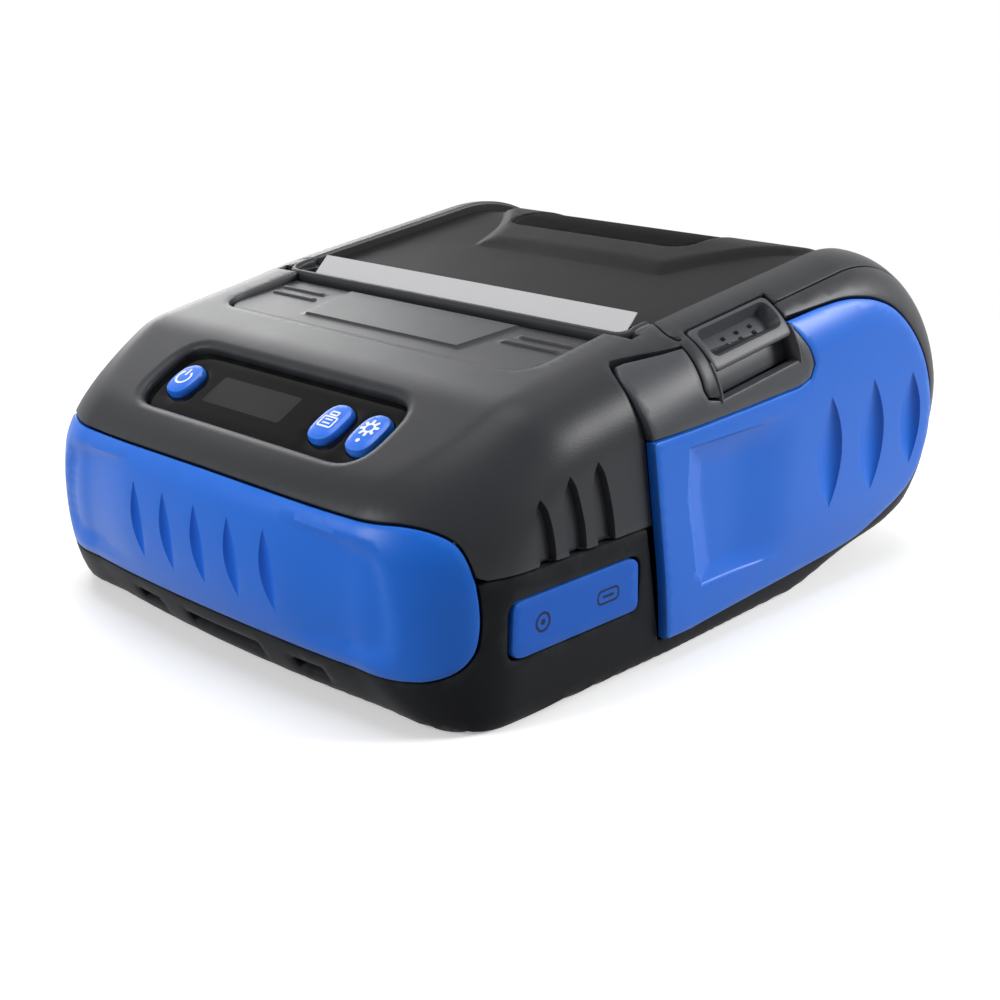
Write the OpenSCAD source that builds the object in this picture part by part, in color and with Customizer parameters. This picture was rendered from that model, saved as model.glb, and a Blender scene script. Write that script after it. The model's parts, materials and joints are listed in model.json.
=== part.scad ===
// Portable thermal label printer with a clamshell lid and a label roll inside.
// X is across the printer, +Y points to the rear and +Z up, in millimetres.
// The origin is under the centre of the body, on the surface that it stands on.

/* [Body] */
// Overall length, from the bulge of the bumper to the rear of the lid
body_len = 146.5; // [144:0.5:160]
// Overall width over the two side panels
body_w = 114; // [113:0.5:122]
// Overall height, at the crest of the lid rails
body_h = 62; // [60:0.5:66]
// Wall of the housings and of the lid
wall = 2.2; // [1.8:0.1:2.4]
// Height of the seam between the lower and the upper housing
seam_z = 25.4; // [25:0.1:26]
// Radius of the rounded rear, about an axis across the body
rear_r = 34.8; // [34:0.1:35.5]
// Radius of the shoulders along both sides of the top
shoulder_r = 13; // [12:0.5:14]
// Radius of the two front corners, seen from above
corner_r = 20; // [16:1:22]
// Radius of the slight bow of the front, seen from above
front_bow_r = 380; // [300:10:500]
// Gap at every visible seam between two moulded parts
seam_gap = 0.25; // [0.2:0.01:0.3]

/* [Slopes] */
// Rise of the lid rails and of the cover plate, in degrees
rail_slope = 8; // [7.5:0.1:8.5]
// Rise of the housing beside the cover plate, in degrees
brow_slope = 10.5; // [10:0.1:11]
// Rise of the front hood and of the display in it, in degrees
hood_slope = 29.2; // [28:0.1:30]
// Height of the foot of the hood, just over the bumper
hood_foot_z = 35.3; // [34.5:0.1:36]
// Distance from the front to where the lift of the tail begins
tail_start = 98; // [90:1:110]
// Lift of the underside of the tail, in degrees
tail_lift = 10; // [8:0.5:12]

/* [Bumper] */
// Height at which the front bulges most
bulge_z = 20.5; // [19:0.5:22]
// Radius of the front above the bulge
upper_bulge_r = 45; // [40:1:60]
// Radius of the front below the bulge
lower_bulge_r = 30; // [28:1:34]
// Thickness of the bumper shell
bumper_t = 2.4; // [2:0.1:2.6]
// Lower edge of the bumper
bumper_low_z = 8; // [7:0.5:9]
// Upper edge of the bumper
bumper_high_z = 35; // [34:0.1:35]
// Distance from the front to the ends of the bumper, round the corners
bumper_reach = 12; // [10:0.5:13]

/* [Side panels] */
// Thickness of the panels that stand proud of the side walls
panel_t = 1.7; // [1.4:0.1:2]
// Height of the line between the blue panel and its dark trim, at the front
trim_low_z = 40.3; // [39:0.1:41.5]
// Height of the lower edge of a panel, at the front
panel_low_z = 4.2; // [3.5:0.1:6]

/* [Display and buttons] */
// Width of the glossy window
window_w = 59.3; // [59:0.1:62]
// Height of the window along its slope
window_h = 15.6; // [15:0.1:17]
// Thickness of the window
window_t = 1.5; // [1.2:0.1:1.7]
// Distance from the front to the middle of the window
window_d = 16.8; // [16:0.1:18]
// Depth of the window below the hood around it
window_sink = 1; // [0.6:0.1:1.2]
// Width of a button cap
button_w = 6; // [5.5:0.1:6.4]
// Length of the feed and settings caps along the slope
button_len = 8.7; // [8.2:0.1:9]
// Length of the power cap along the slope
power_len = 7.6; // [7.2:0.1:8.2]
// How far the caps stand out of the window
button_rise = 1.6; // [1.4:0.1:2]
// Travel of each button
button_travel = 0.5; // [0.3:0.05:0.6]

/* [Printing] */
// Width of the labels
label_w = 80; // [76:0.5:80.4]
// Thickness of a label on its liner
label_t = 0.2; // [0.15:0.01:0.25]
// Radius of the rubber of the platen roller
platen_r = 5.5; // [5.3:0.1:5.6]
// Radius of the steel shaft in the platen roller
shaft_r = 2; // [1.8:0.1:2.2]
// Distance from the front to the platen axis
platen_d = 63.4; // [63:0.1:64]
// Height of the platen axis
platen_z = 45; // [44.5:0.1:45.2]
// Tilt of the print head from upright, in degrees
nip_tilt = 25; // [24:0.5:27]
// Distance from the front to the rear face of the slot's front lip
slot_front = 57.8; // [57.4:0.1:58]
// Distance from the front to the front edge of the lid
lid_front = 64.4; // [64.2:0.1:65]
// Number of teeth on the platen gear
platen_teeth = 22; // [20:1:22]
// Number of teeth on the idler gear
idler_teeth = 24; // [22:1:24]
// Number of teeth on the small wheel of the reduction gear
small_teeth = 14; // [13:1:15]
// Number of teeth on the large wheel of the reduction gear
large_teeth = 44; // [42:1:44]
// Number of teeth on the motor pinion
pinion_teeth = 12; // [11:1:12]

/* [Label roll] */
// Outer radius of the label roll
roll_r = 22; // [18:0.5:22.5]
// Radius of the bore in the roll's cardboard core
core_bore_r = 9.5; // [8:0.5:11]
// Wall of the cardboard core
core_wall = 1.5; // [1:0.1:2]
// How far each roll guide slides outwards
guide_travel = 4; // [3:0.5:4]

/* [Latch and hinge] */
// Length of the release lever along the rail
lever_len = 22; // [20:0.5:23]
// Turn of the release lever, in degrees
lever_turn = 12; // [10:0.5:13]
// Radius of the pin that carries the release lever
latch_pin_r = 1; // [0.8:0.05:1.1]
// Radius of the hinge pin of the lid
hinge_pin_r = 1.25; // [1:0.05:1.4]
// Radius of the hinge barrel
barrel_r = 2.45; // [2.3:0.05:2.5]
// Height of the hinge axis of the lid
hinge_z = 28.5; // [28.2:0.1:28.8]

/* [Power and ports] */
// Length of the battery pack across the body
battery_w = 70; // [60:1:72]
// Depth of the battery pack, front to rear
battery_depth = 38; // [34:1:38]
// Height of the battery pack
battery_h = 18.6; // [16:0.1:18.6]
// Length of the port cover
port_len = 30.3; // [28:0.1:32]
// Height of the port cover
port_h = 9.8; // [9:0.1:10.4]
// Height of the middle of the ports
port_z = 16.4; // [16:0.1:17]

/* [Hidden] */
$fn = 64;

// Colours, as the object shows them
shell_grey = [0.22, 0.22, 0.24];
lid_black = [0.1, 0.1, 0.11];
bright_blue = [0.16, 0.42, 0.84];
gloss_black = [0.03, 0.03, 0.04];
steel = [0.7, 0.71, 0.73];
aluminium = [0.8, 0.81, 0.83];
rubber_black = [0.06, 0.06, 0.06];
paper_white = [0.95, 0.95, 0.93];
card_brown = [0.66, 0.52, 0.36];
board_green = [0.05, 0.32, 0.16];
gear_white = [0.88, 0.87, 0.82];

// Reach of cutting shapes past the body
big = 400;
// Small overlap that joins shapes of one solid
eps = 0.02;
// Running clearance of a pin or shaft in its bore
run = 0.05;
// Clearance between moulded parts that don't move on each other
fit = 0.1;

half_w = body_w / 2;
// Half width of the housing walls, inside the side panels
flank_x = half_w - panel_t;
// Inner face of the side walls
inner_x = flank_x - wall;
rear_axis_y = body_len / 2 - rear_r;
rear_axis_z = body_h - rear_r;
// Where the shoulders begin, measured from the middle
crest_x = half_w - shoulder_r;
hood_shoulder_r = shoulder_r + 4;
brow_shoulder_r = shoulder_r + 0.6;

// Y of a point that lies the given distance behind the front
function at(d) = d - body_len / 2;
// Height of the rail crest above the given distance from the front
function rail_z(d) = rear_axis_z + rear_r / cos(rail_slope) + (at(d) - rear_axis_y) * tan(rail_slope);
// Point on a circle, as [first, second] coordinates
function polar(r, a) = [r * cos(a), r * sin(a)];

// The brow meets the rail line at the rear of the cover plate
brow_d = lid_front - 1;
hood_foot_d = upper_bulge_r - sqrt(pow(upper_bulge_r, 2) - pow(hood_foot_z - bulge_z, 2));
function hood_z(d) = hood_foot_z + (d - hood_foot_d) * tan(hood_slope);

// Turns an outline drawn in Y and Z into a solid from x0 to x1
module across(x0, x1) {
    translate([x0, 0, 0]) rotate([90, 0, 90]) linear_extrude(x1 - x0) children();
}

// Turns an outline drawn in X and Z into a solid from y0 to y1
module along(y0, y1) {
    translate([0, y1, 0]) rotate([90, 0, 0]) linear_extrude(y1 - y0) children();
}

// Rounded bar across the body between x0 and x1
module rod(x0, x1, r) {
    translate([x0, 0, 0]) rotate([0, 90, 0]) cylinder(r = r, h = x1 - x0);
}

// Box given by its lower and its upper corner
module box(low, high) {
    translate(low) cube(high - low);
}

// Outline of the body seen from the side, inset by t
module side_outline(t) {
    intersection() {
        union() {
            intersection() {
                translate([at(upper_bulge_r), bulge_z]) circle(r = upper_bulge_r - t);
                translate([at(0), bulge_z]) square([upper_bulge_r, big]);
            }
            intersection() {
                translate([at(lower_bulge_r), bulge_z]) circle(r = lower_bulge_r - t);
                translate([at(0), 0]) square([lower_bulge_r, bulge_z + eps]);
            }
            translate([at(upper_bulge_r) - eps, bulge_z]) square([big, big]);
            translate([at(lower_bulge_r) - eps, 0]) square([big, bulge_z + eps]);
        }
        underside(t);
    }
}

// Everything above the flat bottom and above the lift of the tail, inset by t
module underside(t) {
    difference() {
        translate([-big, t]) square([2 * big, big]);
        translate([at(tail_start), 0]) rotate(tail_lift) translate([-big, t - big]) square([2 * big, big]);
    }
    translate([-big, t]) square([big + at(tail_start), big]);
}

// Outline seen from above, inset by t, open to the rear
module plan_outline(t) {
    bow_end_x = flank_x - corner_r;
    bow_rise = front_bow_r - sqrt(pow(front_bow_r, 2) - pow(bow_end_x, 2));
    intersection() {
        translate([0, at(0) + front_bow_r]) circle(r = front_bow_r - t);
        translate([-bow_end_x - eps, -big]) square([2 * (bow_end_x + eps), 2 * big]);
    }
    for (side = [-1, 1])
        translate([side * bow_end_x, at(0) + bow_rise + corner_r]) circle(r = corner_r - t);
    translate([t - half_w, at(0) + bow_rise + corner_r]) square([2 * (half_w - t), big]);
}

// Points of a rounded shoulder about a centre, from the side (0 degrees) up to the top
shoulder_steps = 6;
function shoulder_arc(centre, r) =
    [for (i = [0 : shoulder_steps]) centre + polar(r, i * 90 / shoulder_steps)];
function mirrored(points) = [for (i = [len(points) - 1 : -1 : 0]) [-points[i][0], points[i][1]]];

// Outline of the body seen from the front, with its crest at height 0, inset by t; its lowest
// facets run on past the flanks
module shoulder_outline(r, t) {
    arc = shoulder_arc([half_w - r, -r], r - t);
    foot = arc[1] + 1.5 * (arc[0] - arc[1]);
    half = concat([[foot[0], -big], foot], [for (i = [1 : shoulder_steps]) arc[i]]);
    polygon(concat(half, mirrored(half)));
}

// Shoulders of radius r swept along a line that rises to the rear through a point
module shoulder_prism(d, z, slope, r, t) {
    translate([0, at(d), z]) rotate([slope, 0, 0]) along(-big, big) shoulder_outline(r, t);
}

// The same shoulders turned about the axis of the rounded rear
module rear_drum(t) {
    arc = shoulder_arc([crest_x, rear_r - shoulder_r], shoulder_r - t);
    turned = [for (p = arc) [p[1], p[0]]];
    rear_axis() rotate([0, 90, 0]) rotate_extrude($fn = 128)
        polygon(concat([[0, t - half_w]], [for (p = turned) [p[0], -p[1]]],
            [for (i = [shoulder_steps : -1 : 0]) turned[i]], [[0, half_w - t]]));
}
module rear_axis() { translate([0, rear_axis_y, rear_axis_z]) children(); }

// The whole body as one solid, inset by t on every side
module body_solid(t) {
    intersection() {
        across(-half_w, half_w) side_outline(t);
        translate([0, 0, -1]) linear_extrude(big) plan_outline(t);
        shoulder_prism(hood_foot_d, hood_foot_z, hood_slope, hood_shoulder_r, t);
        shoulder_prism(brow_d, rail_z(brow_d), brow_slope, brow_shoulder_r, t);
        shoulder_prism(brow_d, rail_z(brow_d), rail_slope, shoulder_r, t);
        rear_axis() rotate([rail_slope, 0, 0]) box([-big, -big, -big], [big, 0, big]);
    }
    intersection() {
        rear_drum(t);
        across(-half_w, half_w) underside(t);
        rear_axis() rotate([rail_slope, 0, 0]) box([-big, -eps, -big], [big, big, big]);
    }
}

// Pegs of the panels and trims, as [distance from the front, height], on both flanks
panel_pegs_at = [[60, 12], [118, 21], [84, 35]];
trim_pegs = [[54, 44], [84, 44]];
panel_peg_r = 1.2;
trim_peg_r = 0.8;
peg_len = 1.8;
module panel_pegs(places, r, len) {
    for (side = [0, 1]) mirror([side, 0, 0]) right_pegs(places, r, len);
}
module right_pegs(places, r, len) {
    for (p = places) translate([0, at(p[0]), p[1]]) rod(flank_x - len, flank_x + eps, r);
}
bumper_peg_x = 30;
bumper_peg_z = 16;
bumper_peg_r = 1.5;
module bumper_pegs(r, end_d) {
    for (x = [-1, 0, 1] * bumper_peg_x) translate([x, 0, bumper_peg_z]) along(at(2.2), at(end_d)) circle(r = r);
}

// Everything between the two flanks
module between(x) { box([-x, -big, -1], [x, big, body_h + 1]); }

// Front zone in which the bumper lies, widened by m
module bumper_zone(m) {
    box([-half_w, at(0) - 1, bumper_low_z - m], [half_w, at(bumper_reach + m), bumper_high_z + m]);
}

// Outside of the housings, set back behind the bumper and the panels
module housing_outer() {
    difference() {
        intersection() {
            body_solid(0);
            between(flank_x);
        }
        difference() {
            bumper_zone(fit);
            body_solid(bumper_t + fit);
        }
    }
}

// Room inside the housings
module cavity() {
    difference() {
        intersection() {
            body_solid(wall);
            between(inner_x);
        }
        difference() {
            bumper_zone(wall);
            body_solid(bumper_t + fit + wall);
        }
    }
}

// Upright post with a blind bore for a screw, between z0 and z1
module post(x, d, z0, z1, r, bore_r, bore_len) {
    translate([x, at(d), z0]) difference() {
        cylinder(r = r, h = z1 - z0);
        translate([0, 0, z1 - z0 - bore_len]) cylinder(r = bore_r, h = bore_len + 1);
    }
}

// Gear outline with trapezoid teeth, the first tooth centred on the given angle
gear_module = 0.5;
tooth_top = 0.42;
tooth_root = 0.58;
function pitch_r(teeth) = teeth * gear_module / 2;
module gear_outline(teeth, phase) {
    step = 360 / teeth;
    outer_r = pitch_r(teeth) + tooth_top;
    inner_r = pitch_r(teeth) - tooth_root;
    polygon([for (i = [0 : teeth - 1], corner = [[inner_r, -0.3], [outer_r, -0.11], [outer_r, 0.11],
        [inner_r, 0.3]]) polar(corner[0], phase + (i + corner[1]) * step)]);
}
// Phase of a gear that meshes with another one lying in the direction dir from it
function mesh_phase(phase, teeth, next_teeth, dir) =
    dir + 180 + ((dir - phase) * teeth / 360 + 0.5) * 360 / next_teeth;
function centre_step(teeth, next_teeth) = pitch_r(teeth) + pitch_r(next_teeth);

// Frame whose origin is on the window's face, with Y up the slope of the hood
window_z = hood_z(window_d) - window_sink / cos(hood_slope);
module on_window() { translate([0, at(window_d), window_z]) rotate([hood_slope, 0, 0]) children(); }

// Rounded slot outline of a button, grown by m
module button_outline(w, len, m) {
    square([w + 2 * m, len - w], center = true);
    for (end = [-1, 1]) translate([0, end * (len - w) / 2]) circle(r = w / 2 + m);
}

// Place of each button on the window, as [x, y, length]
power_place = [-23.2, -0.2, power_len];
feed_place = [16.3, -0.5, button_len];
settings_place = [25.4, -0.5, button_len];
button_places = [power_place, feed_place, settings_place];
button_slack = 0.15;
tab_t = 1.2;
tab_gap = 0.4;
tab_reach = 0.9;
tab_w = button_w - 0.4;
stem_r = 1.2;
stem_len = 1.5;
// Heights below the window's face
tab_top = window_t + tab_gap;
stem_low = tab_top + tab_t + stem_len;
switch_gap = button_travel + 0.05;
switch_h = 0.65;
dome_h = 0.2;
board_top = stem_low + switch_gap + dome_h + switch_h;
board_t = 1.2;
ledge_t = 1.2;
ledge_w = 0.6;
window_boss_x = window_w / 2 + 2.7;
window_boss_r = 2;
window_corner_r = 1.6;

// Cover plate between the brow and the slot, in a frame at its rear edge
cover_d = 55.4;
cover_len = 18.8;
cover_w = 79;
cover_t = 1.8;
cover_sink = 1.8;
cover_corner_r = 4;
cover_ledge = 1.5;
cover_z = rail_z(cover_d) - cover_sink;
module on_cover() { translate([0, at(cover_d), cover_z]) rotate([rail_slope, 0, 0]) children(); }
module cover_outline(m) {
    side_x = cover_w / 2 + m;
    translate([-side_x, cover_corner_r - cover_len]) square([2 * side_x, cover_len - cover_corner_r + m]);
    translate([cover_corner_r - cover_w / 2, -cover_len - m]) square([cover_w - 2 * cover_corner_r, cover_len]);
    for (side = [-1, 1]) translate([side * (cover_w / 2 - cover_corner_r), cover_corner_r - cover_len])
        circle(r = cover_corner_r + m);
}

// Lip in front of the paper slot
lip_t = 1.8;
lip_low_z = 50.9;
lip_high_z = 53.4;
lip_end_x = 45.3;
module lip_outline(m) {
    translate([at(slot_front) - lip_t - m, lip_low_z - m]) square([lip_t + 2 * m, lip_high_z - lip_low_z + m]);
    translate([at(slot_front) - lip_t / 2, lip_high_z]) circle(r = lip_t / 2 + m);
}

// Clamshell lid
lid_half_w = 51.5;
lid_centre_x = 43.8;
lid_sink = 2.2;
slot_end_x = lid_centre_x;
barrel_gap = 0.3;
lid_low_z = hinge_z + barrel_r + barrel_gap;
hinge_y = body_len / 2 - barrel_r - 0.05;
lid_knuckles = [14, 30];
knuckle_gap = 0.3;
rear_wall_y = rear_axis_y + 16;

// Release lever on the right shoulder, in a frame at the crest of the rail
latch_d = 64.6;
lever_r = shoulder_r;
lever_t = 3.4;
lever_start = 25;
lever_end = 64;
recess_end = 84;
lever_gap = 0.3;
hook_r = 7.5;
hook_end = 8.5;
hook_start_y = 5;
catch_gap = 0.25;
catch_t = 1.6;
catch_end = 17;
rib_x = [42.9, 44.6];
arm_t = 1.6;
hub_r = latch_pin_r + run + 0.7;
boss_t = 2.6;
module on_rail(d) { translate([0, at(d), rail_z(d)]) rotate([rail_slope, 0, 0]) children(); }
// Ring sector about the shoulder axis, from a0 to a1 degrees off upright, between y0 and y1
module shoulder_sector(r0, r1, a0, a1, y0, y1) {
    reach = 3 * shoulder_r;
    translate([crest_x, 0, -shoulder_r]) along(y0, y1) intersection() {
        difference() {
            circle(r = r1);
            circle(r = r0);
        }
        polygon([[0, 0], polar(reach, 90 - a0), polar(reach, 90 - (a0 + a1) / 2), polar(reach, 90 - a1)]);
    }
}
// Rod along the shoulder axis between y0 and y1
module shoulder_rod(r, y0, y1) { translate([crest_x, 0, -shoulder_r]) along(y0, y1) circle(r = r); }

// Room of the lever and of the finger recess below it
module lever_room() {
    on_rail(latch_d) shoulder_sector(lever_r - lever_t - lever_gap, 2 * lever_r, lever_start - 1.2,
        recess_end, -lever_gap, lever_len + lever_gap);
}

// Outline of the lid from above, grown by m, with a notch for the lever on the right
module lid_outline(m) {
    front = at(lid_front) - m;
    notch_x = crest_x + shoulder_r * sin(lever_start - 1.2) - seam_gap + m;
    notch_end = at(latch_d + lever_len) + 2 * lever_gap + seam_gap - m;
    polygon([[-lid_centre_x - m, front], [lid_centre_x + m, front], [46.6 + m, front + 1.8],
        [notch_x, front + 3], [notch_x, notch_end], [lid_half_w + m, notch_end], [lid_half_w + m, big],
        [-lid_half_w - m, big], [-lid_half_w - m, front + 4.4], [-50 - m, front + 3.4], [-46.6 - m, front + 1.8]]);
}

// Print mechanism, in a frame on the platen axis whose -Y points at the print head
platen = [at(platen_d), platen_z];
module at_platen() { translate([0, platen[0], platen[1]]) rotate([-nip_tilt, 0, 0]) children(); }
rubber_x = label_w / 2 + 0.2;
ear_x = [rubber_x + 0.4, rubber_x + 1.8];
ear_r = 4.3;
ear_gap = 0.3;
bush_r = 3;
gear_x = [ear_x[1] + 0.2, lid_centre_x];
large_gear_x = [lid_centre_x + 0.3, lid_centre_x + 1.9];
web_gap = 0.15;
head_y = platen_r + 2 * web_gap + label_t;
ceramic_t = 1;
ceramic_z = [-8, 1.4];
sink_t = 2.6;
sink_z = [-10, 0.8];
head_half_w = rubber_x;
pivot_place = [-head_y - ceramic_t - 1.3, -12];
pivot_r = 1.2;
lug_r = 2.4;
spring_x = 22;
spring_r = 2.2;
spring_z = -6.2;
spring_len = 3.8;
spring_gap = 0.25;
back_t = 1.2;
back_y = -head_y - ceramic_t - sink_t - spring_len;
back_z = [-10.5, -3.6];

// Gear train on the left of the mechanism, as directions and places in Y and Z
idler_dir = -95;
small_dir = 200;
pinion_dir = 178;
idler = platen + polar(centre_step(platen_teeth, idler_teeth), idler_dir);
reduction = idler + polar(centre_step(idler_teeth, small_teeth), small_dir);
pinion = reduction + polar(centre_step(large_teeth, pinion_teeth), pinion_dir);
platen_phase = 0;
idler_phase = mesh_phase(platen_phase, platen_teeth, idler_teeth, idler_dir);
small_phase = mesh_phase(idler_phase, idler_teeth, small_teeth, small_dir);
large_phase = 0;
pinion_phase = mesh_phase(large_phase, large_teeth, pinion_teeth, pinion_dir);
gear_pin_r = 1;
motor_r = 7.5;
motor_len = 13;
motor_shaft_r = 0.75;
flange_t = 0.8;

// Deck and label bay
deck_z = [24, 26];
deck_front_d = 28;
deck_left_x = -rubber_x;
roll_d = body_len - 38.5;
flange_post_d = body_len - 9.5;
roll_z = 32.5;
roll_gap = 2;
bay_t = 1.5;
bay_side_x = [47.3, 48.8];
bay_high_z = 34;
flange_z = [20, 21.6];
bay_r = roll_r + roll_gap;
roll = [at(roll_d), roll_z];

// Roll guides with their racks and the pinion between them
guide_gap = 0.3;
guide_x = label_w / 2 + guide_gap;
guide_t = 2.4;
guide_r = 17;
hub_len = 2.6;
rack_teeth = 16;
rack_t = 2;
rack_w = 2.2;
rack_len = 54;
rack_z = roll_z - bay_r - bay_t - 0.4 - rack_t;
neck_w = 2;

// Boards, ports and battery
pcb_t = 1.6;
main_board_z = 10;
main_board_x = 45;
battery_d = 20;
main_board_d = [battery_d + battery_depth + 2.8, battery_d + battery_depth + 24];
board_post_r = 2.5;
board_screw_r = 0.95;
port_board_x = [37, 52.2];
port_board_d = [19, 52];
jack_d = 24.8;
jack_w = 9;
jack_h = 11;
jack_len = 13;
jack_bore_r = 3.1;
jack_pin_r = 1;
data_d = 40.2;
data_w = 9.2;
data_h = 3.4;
data_len = 7.5;
port_board_z = port_z - jack_h / 2 - pcb_t;
cover_depth = 1.5;
flap_gap = 0.2;
cover_plate_t = 1.2;
port_d = 32.75;
port_axis_rise = 0.6;
trunnion_r = 0.5;
trunnion_len = 1;
battery_z = 2.4;
battery_gap = 0.4;
door_step = 2;
door_tail = 5.4;
door_t = 1.2;
door_screw_x = 25;
door_screw_r = 0.9;
door_head_r = 1.6;
door_head_h = 0.6;
door_boss_r = 1.9;
screw_r = 1.25;
screw_head_r = 2.5;
housing_posts = [[46, 14.5], [49.3, body_len - 9.7]];
post_r = 3.7;
screw_grip = [8, 5];
counterbore_z = [3, 14];

// Walls of the lower housing that stand on its floor
module lower_ribs() {
    rib_t = 1.2;
    rib_h = 12;
    x = battery_w / 2 + battery_gap;
    y0 = at(battery_d) - battery_gap;
    y1 = at(battery_d + battery_depth) + battery_gap;
    for (side = [-1, 1]) box([side > 0 ? x : -x - rib_t, y0, wall / 2], [side > 0 ? x + rib_t : -x, y1, rib_h]);
    box([-x - rib_t, y0 - rib_t, wall / 2], [x + rib_t, y0, rib_h]);
    at_door_screws() cylinder(r = door_boss_r, h = 7);
    // Ledges under the deck
    box([inner_x - 2.5, at(main_board_d[1] - 29), 14], [flank_x - wall / 2, at(main_board_d[1]), deck_z[0]]);
    box([-flank_x + wall / 2, at(main_board_d[1] - 11), 14], [-inner_x + 2.5, at(main_board_d[1]), deck_z[0]]);
    for (x = [-1, 1] * (main_board_x - 4), d = [main_board_d[0] + 4, main_board_d[1] - 4])
        post(x, d, wall / 2, main_board_z, board_post_r, board_screw_r, 5);
    for (d = port_screw_ds)
        post(port_board_x[0] + 4, d, wall / 2, port_board_z, board_post_r, board_screw_r, 5);
    // Posts under the rear flange of the label bay
    for (x = [-36, 36]) intersection() {
        post(x, flange_post_d, 0, flange_z[0], board_post_r, board_screw_r, 5);
        body_solid(wall / 2);
    }
}

module lower_housing() {
    color(shell_grey) difference() {
        union() {
            difference() {
                intersection() {
                    housing_outer();
                    union() {
                        box([-half_w, -big, -1], [half_w, big, seam_z]);
                        box([-lid_half_w, rear_wall_y, -1], [lid_half_w, big, hinge_z]);
                    }
                }
                cavity();
            }
            lower_ribs();
            for (side = [-1, 1], p = housing_posts) intersection() {
                translate([side * p[0], at(p[1]), 0]) cylinder(r = post_r, h = seam_z);
                body_solid(wall / 2);
            }
            hinge_barrel(lid_knuckles[1] + knuckle_gap, lid_half_w - 1);
            mirror([1, 0, 0]) hinge_barrel(lid_knuckles[1] + knuckle_gap, lid_half_w - 1);
            hinge_barrel(-lid_knuckles[0] + knuckle_gap, lid_knuckles[0] - knuckle_gap);
        }
        // Bore of the hinge pin, and room for the knuckles of the lid
        translate([0, hinge_y, hinge_z]) rod(-lid_half_w, lid_half_w, hinge_pin_r);
        for (side = [0, 1]) mirror([side, 0, 0]) translate([0, hinge_y, hinge_z])
            rod(lid_knuckles[0] - knuckle_gap, lid_knuckles[1] + knuckle_gap, barrel_r + barrel_gap);
        for (side = [-1, 1], p = housing_posts) translate([side * p[0], at(p[1]), 0]) {
            translate([0, 0, -1]) cylinder(r = screw_r + 0.3, h = big);
            translate([0, 0, -1]) cylinder(r = screw_head_r + 0.3, h = 1 + counterbore_z[p[1] > 100 ? 1 : 0]);
        }
        battery_opening();
        at_door_screws() cylinder(r = door_screw_r, h = 6);
        port_pocket();
        panel_pegs([panel_pegs_at[0], panel_pegs_at[1]], panel_peg_r + run, peg_len + fit);
        bumper_pegs(bumper_peg_r + run, 9);
        // Small slots under the front
        for (slot = [[-21.5, 5.5], [0, 19.6], [21.5, 5.5]])
            translate([slot[0], at(7), 3.8]) cube([slot[1], 8, 2], center = true);
    }
}

// Fixed part of the hinge barrel with its foot on the rear wall
module hinge_barrel(x0, x1) {
    translate([0, hinge_y, hinge_z]) {
        rod(x0, x1, barrel_r);
        box([x0, -1, -4], [x1, barrel_r - 0.35, 0]);
    }
}

// Opening for the battery with the rebate of its door
module battery_opening() {
    door_outer(0, door_t);
    door_inner(0, wall + 1);
}
// Outer plate of the door and its step into the opening, set back by m
module door_outer(m, top) {
    x = battery_w / 2 + battery_gap + door_step - m;
    box([-x, at(battery_d) - battery_gap - door_step + m, m > 0 ? 0 : -1],
        [x, at(battery_d + battery_depth) + door_tail - m, top]);
}
module door_inner(m, top) {
    x = battery_w / 2 + battery_gap - m;
    box([-x, at(battery_d) - battery_gap + m, m > 0 ? door_t - eps : -1],
        [x, at(battery_d + battery_depth) + battery_gap - m, top]);
}
module at_door_screws() {
    for (side = [-1, 1]) translate([side * door_screw_x, at(battery_d + battery_depth) + 3, 0]) children();
}

// Pocket and holes in the right wall for the port cover and the sockets
module port_pocket() {
    y0 = at(port_d) - port_len / 2 - flap_gap;
    low = port_z - port_h / 2 - flap_gap;
    box([flank_x - cover_depth, y0, low],
        [half_w + 1, y0 + port_len + 2 * flap_gap, low + port_h + 2 * flap_gap]);
    translate([0, at(jack_d), port_z]) rod(flank_x - 2 * wall, half_w, jack_bore_r + 0.5);
    translate([flank_x, at(data_d), port_z]) cube([4 * wall, data_w + 0.6, data_h + 0.6], center = true);
    port_axis() rod_y(port_len / 2 + trunnion_len + fit, trunnion_r + run);
}
port_axis_x = flank_x - fit - cover_plate_t / 2;
port_axis_z = port_z - port_h / 2 + port_axis_rise;
module port_axis() { translate([port_axis_x, at(port_d), port_axis_z]) children(); }
module rod_y(reach, r) { along(-reach, reach) circle(r = r); }

// Tapered grooves in the side wall over the seam, as [distance of the middle, height of the tip]
groove_places = [[24.4, 36], [30.8, 38], [37.8, 38.8]];
groove_w = 4;
module side_grooves() {
    for (side = [-1, 1], g = groove_places) mirror([side > 0 ? 0 : 1, 0, 0])
        across(flank_x - 0.9, half_w + 1) polygon([[at(g[0]) - groove_w / 2, seam_z - 1],
            [at(g[0]) + groove_w / 2, seam_z - 1], [at(g[0]), g[1]], [at(g[0]) - groove_w / 2, g[1] - 4]]);
}

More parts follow.
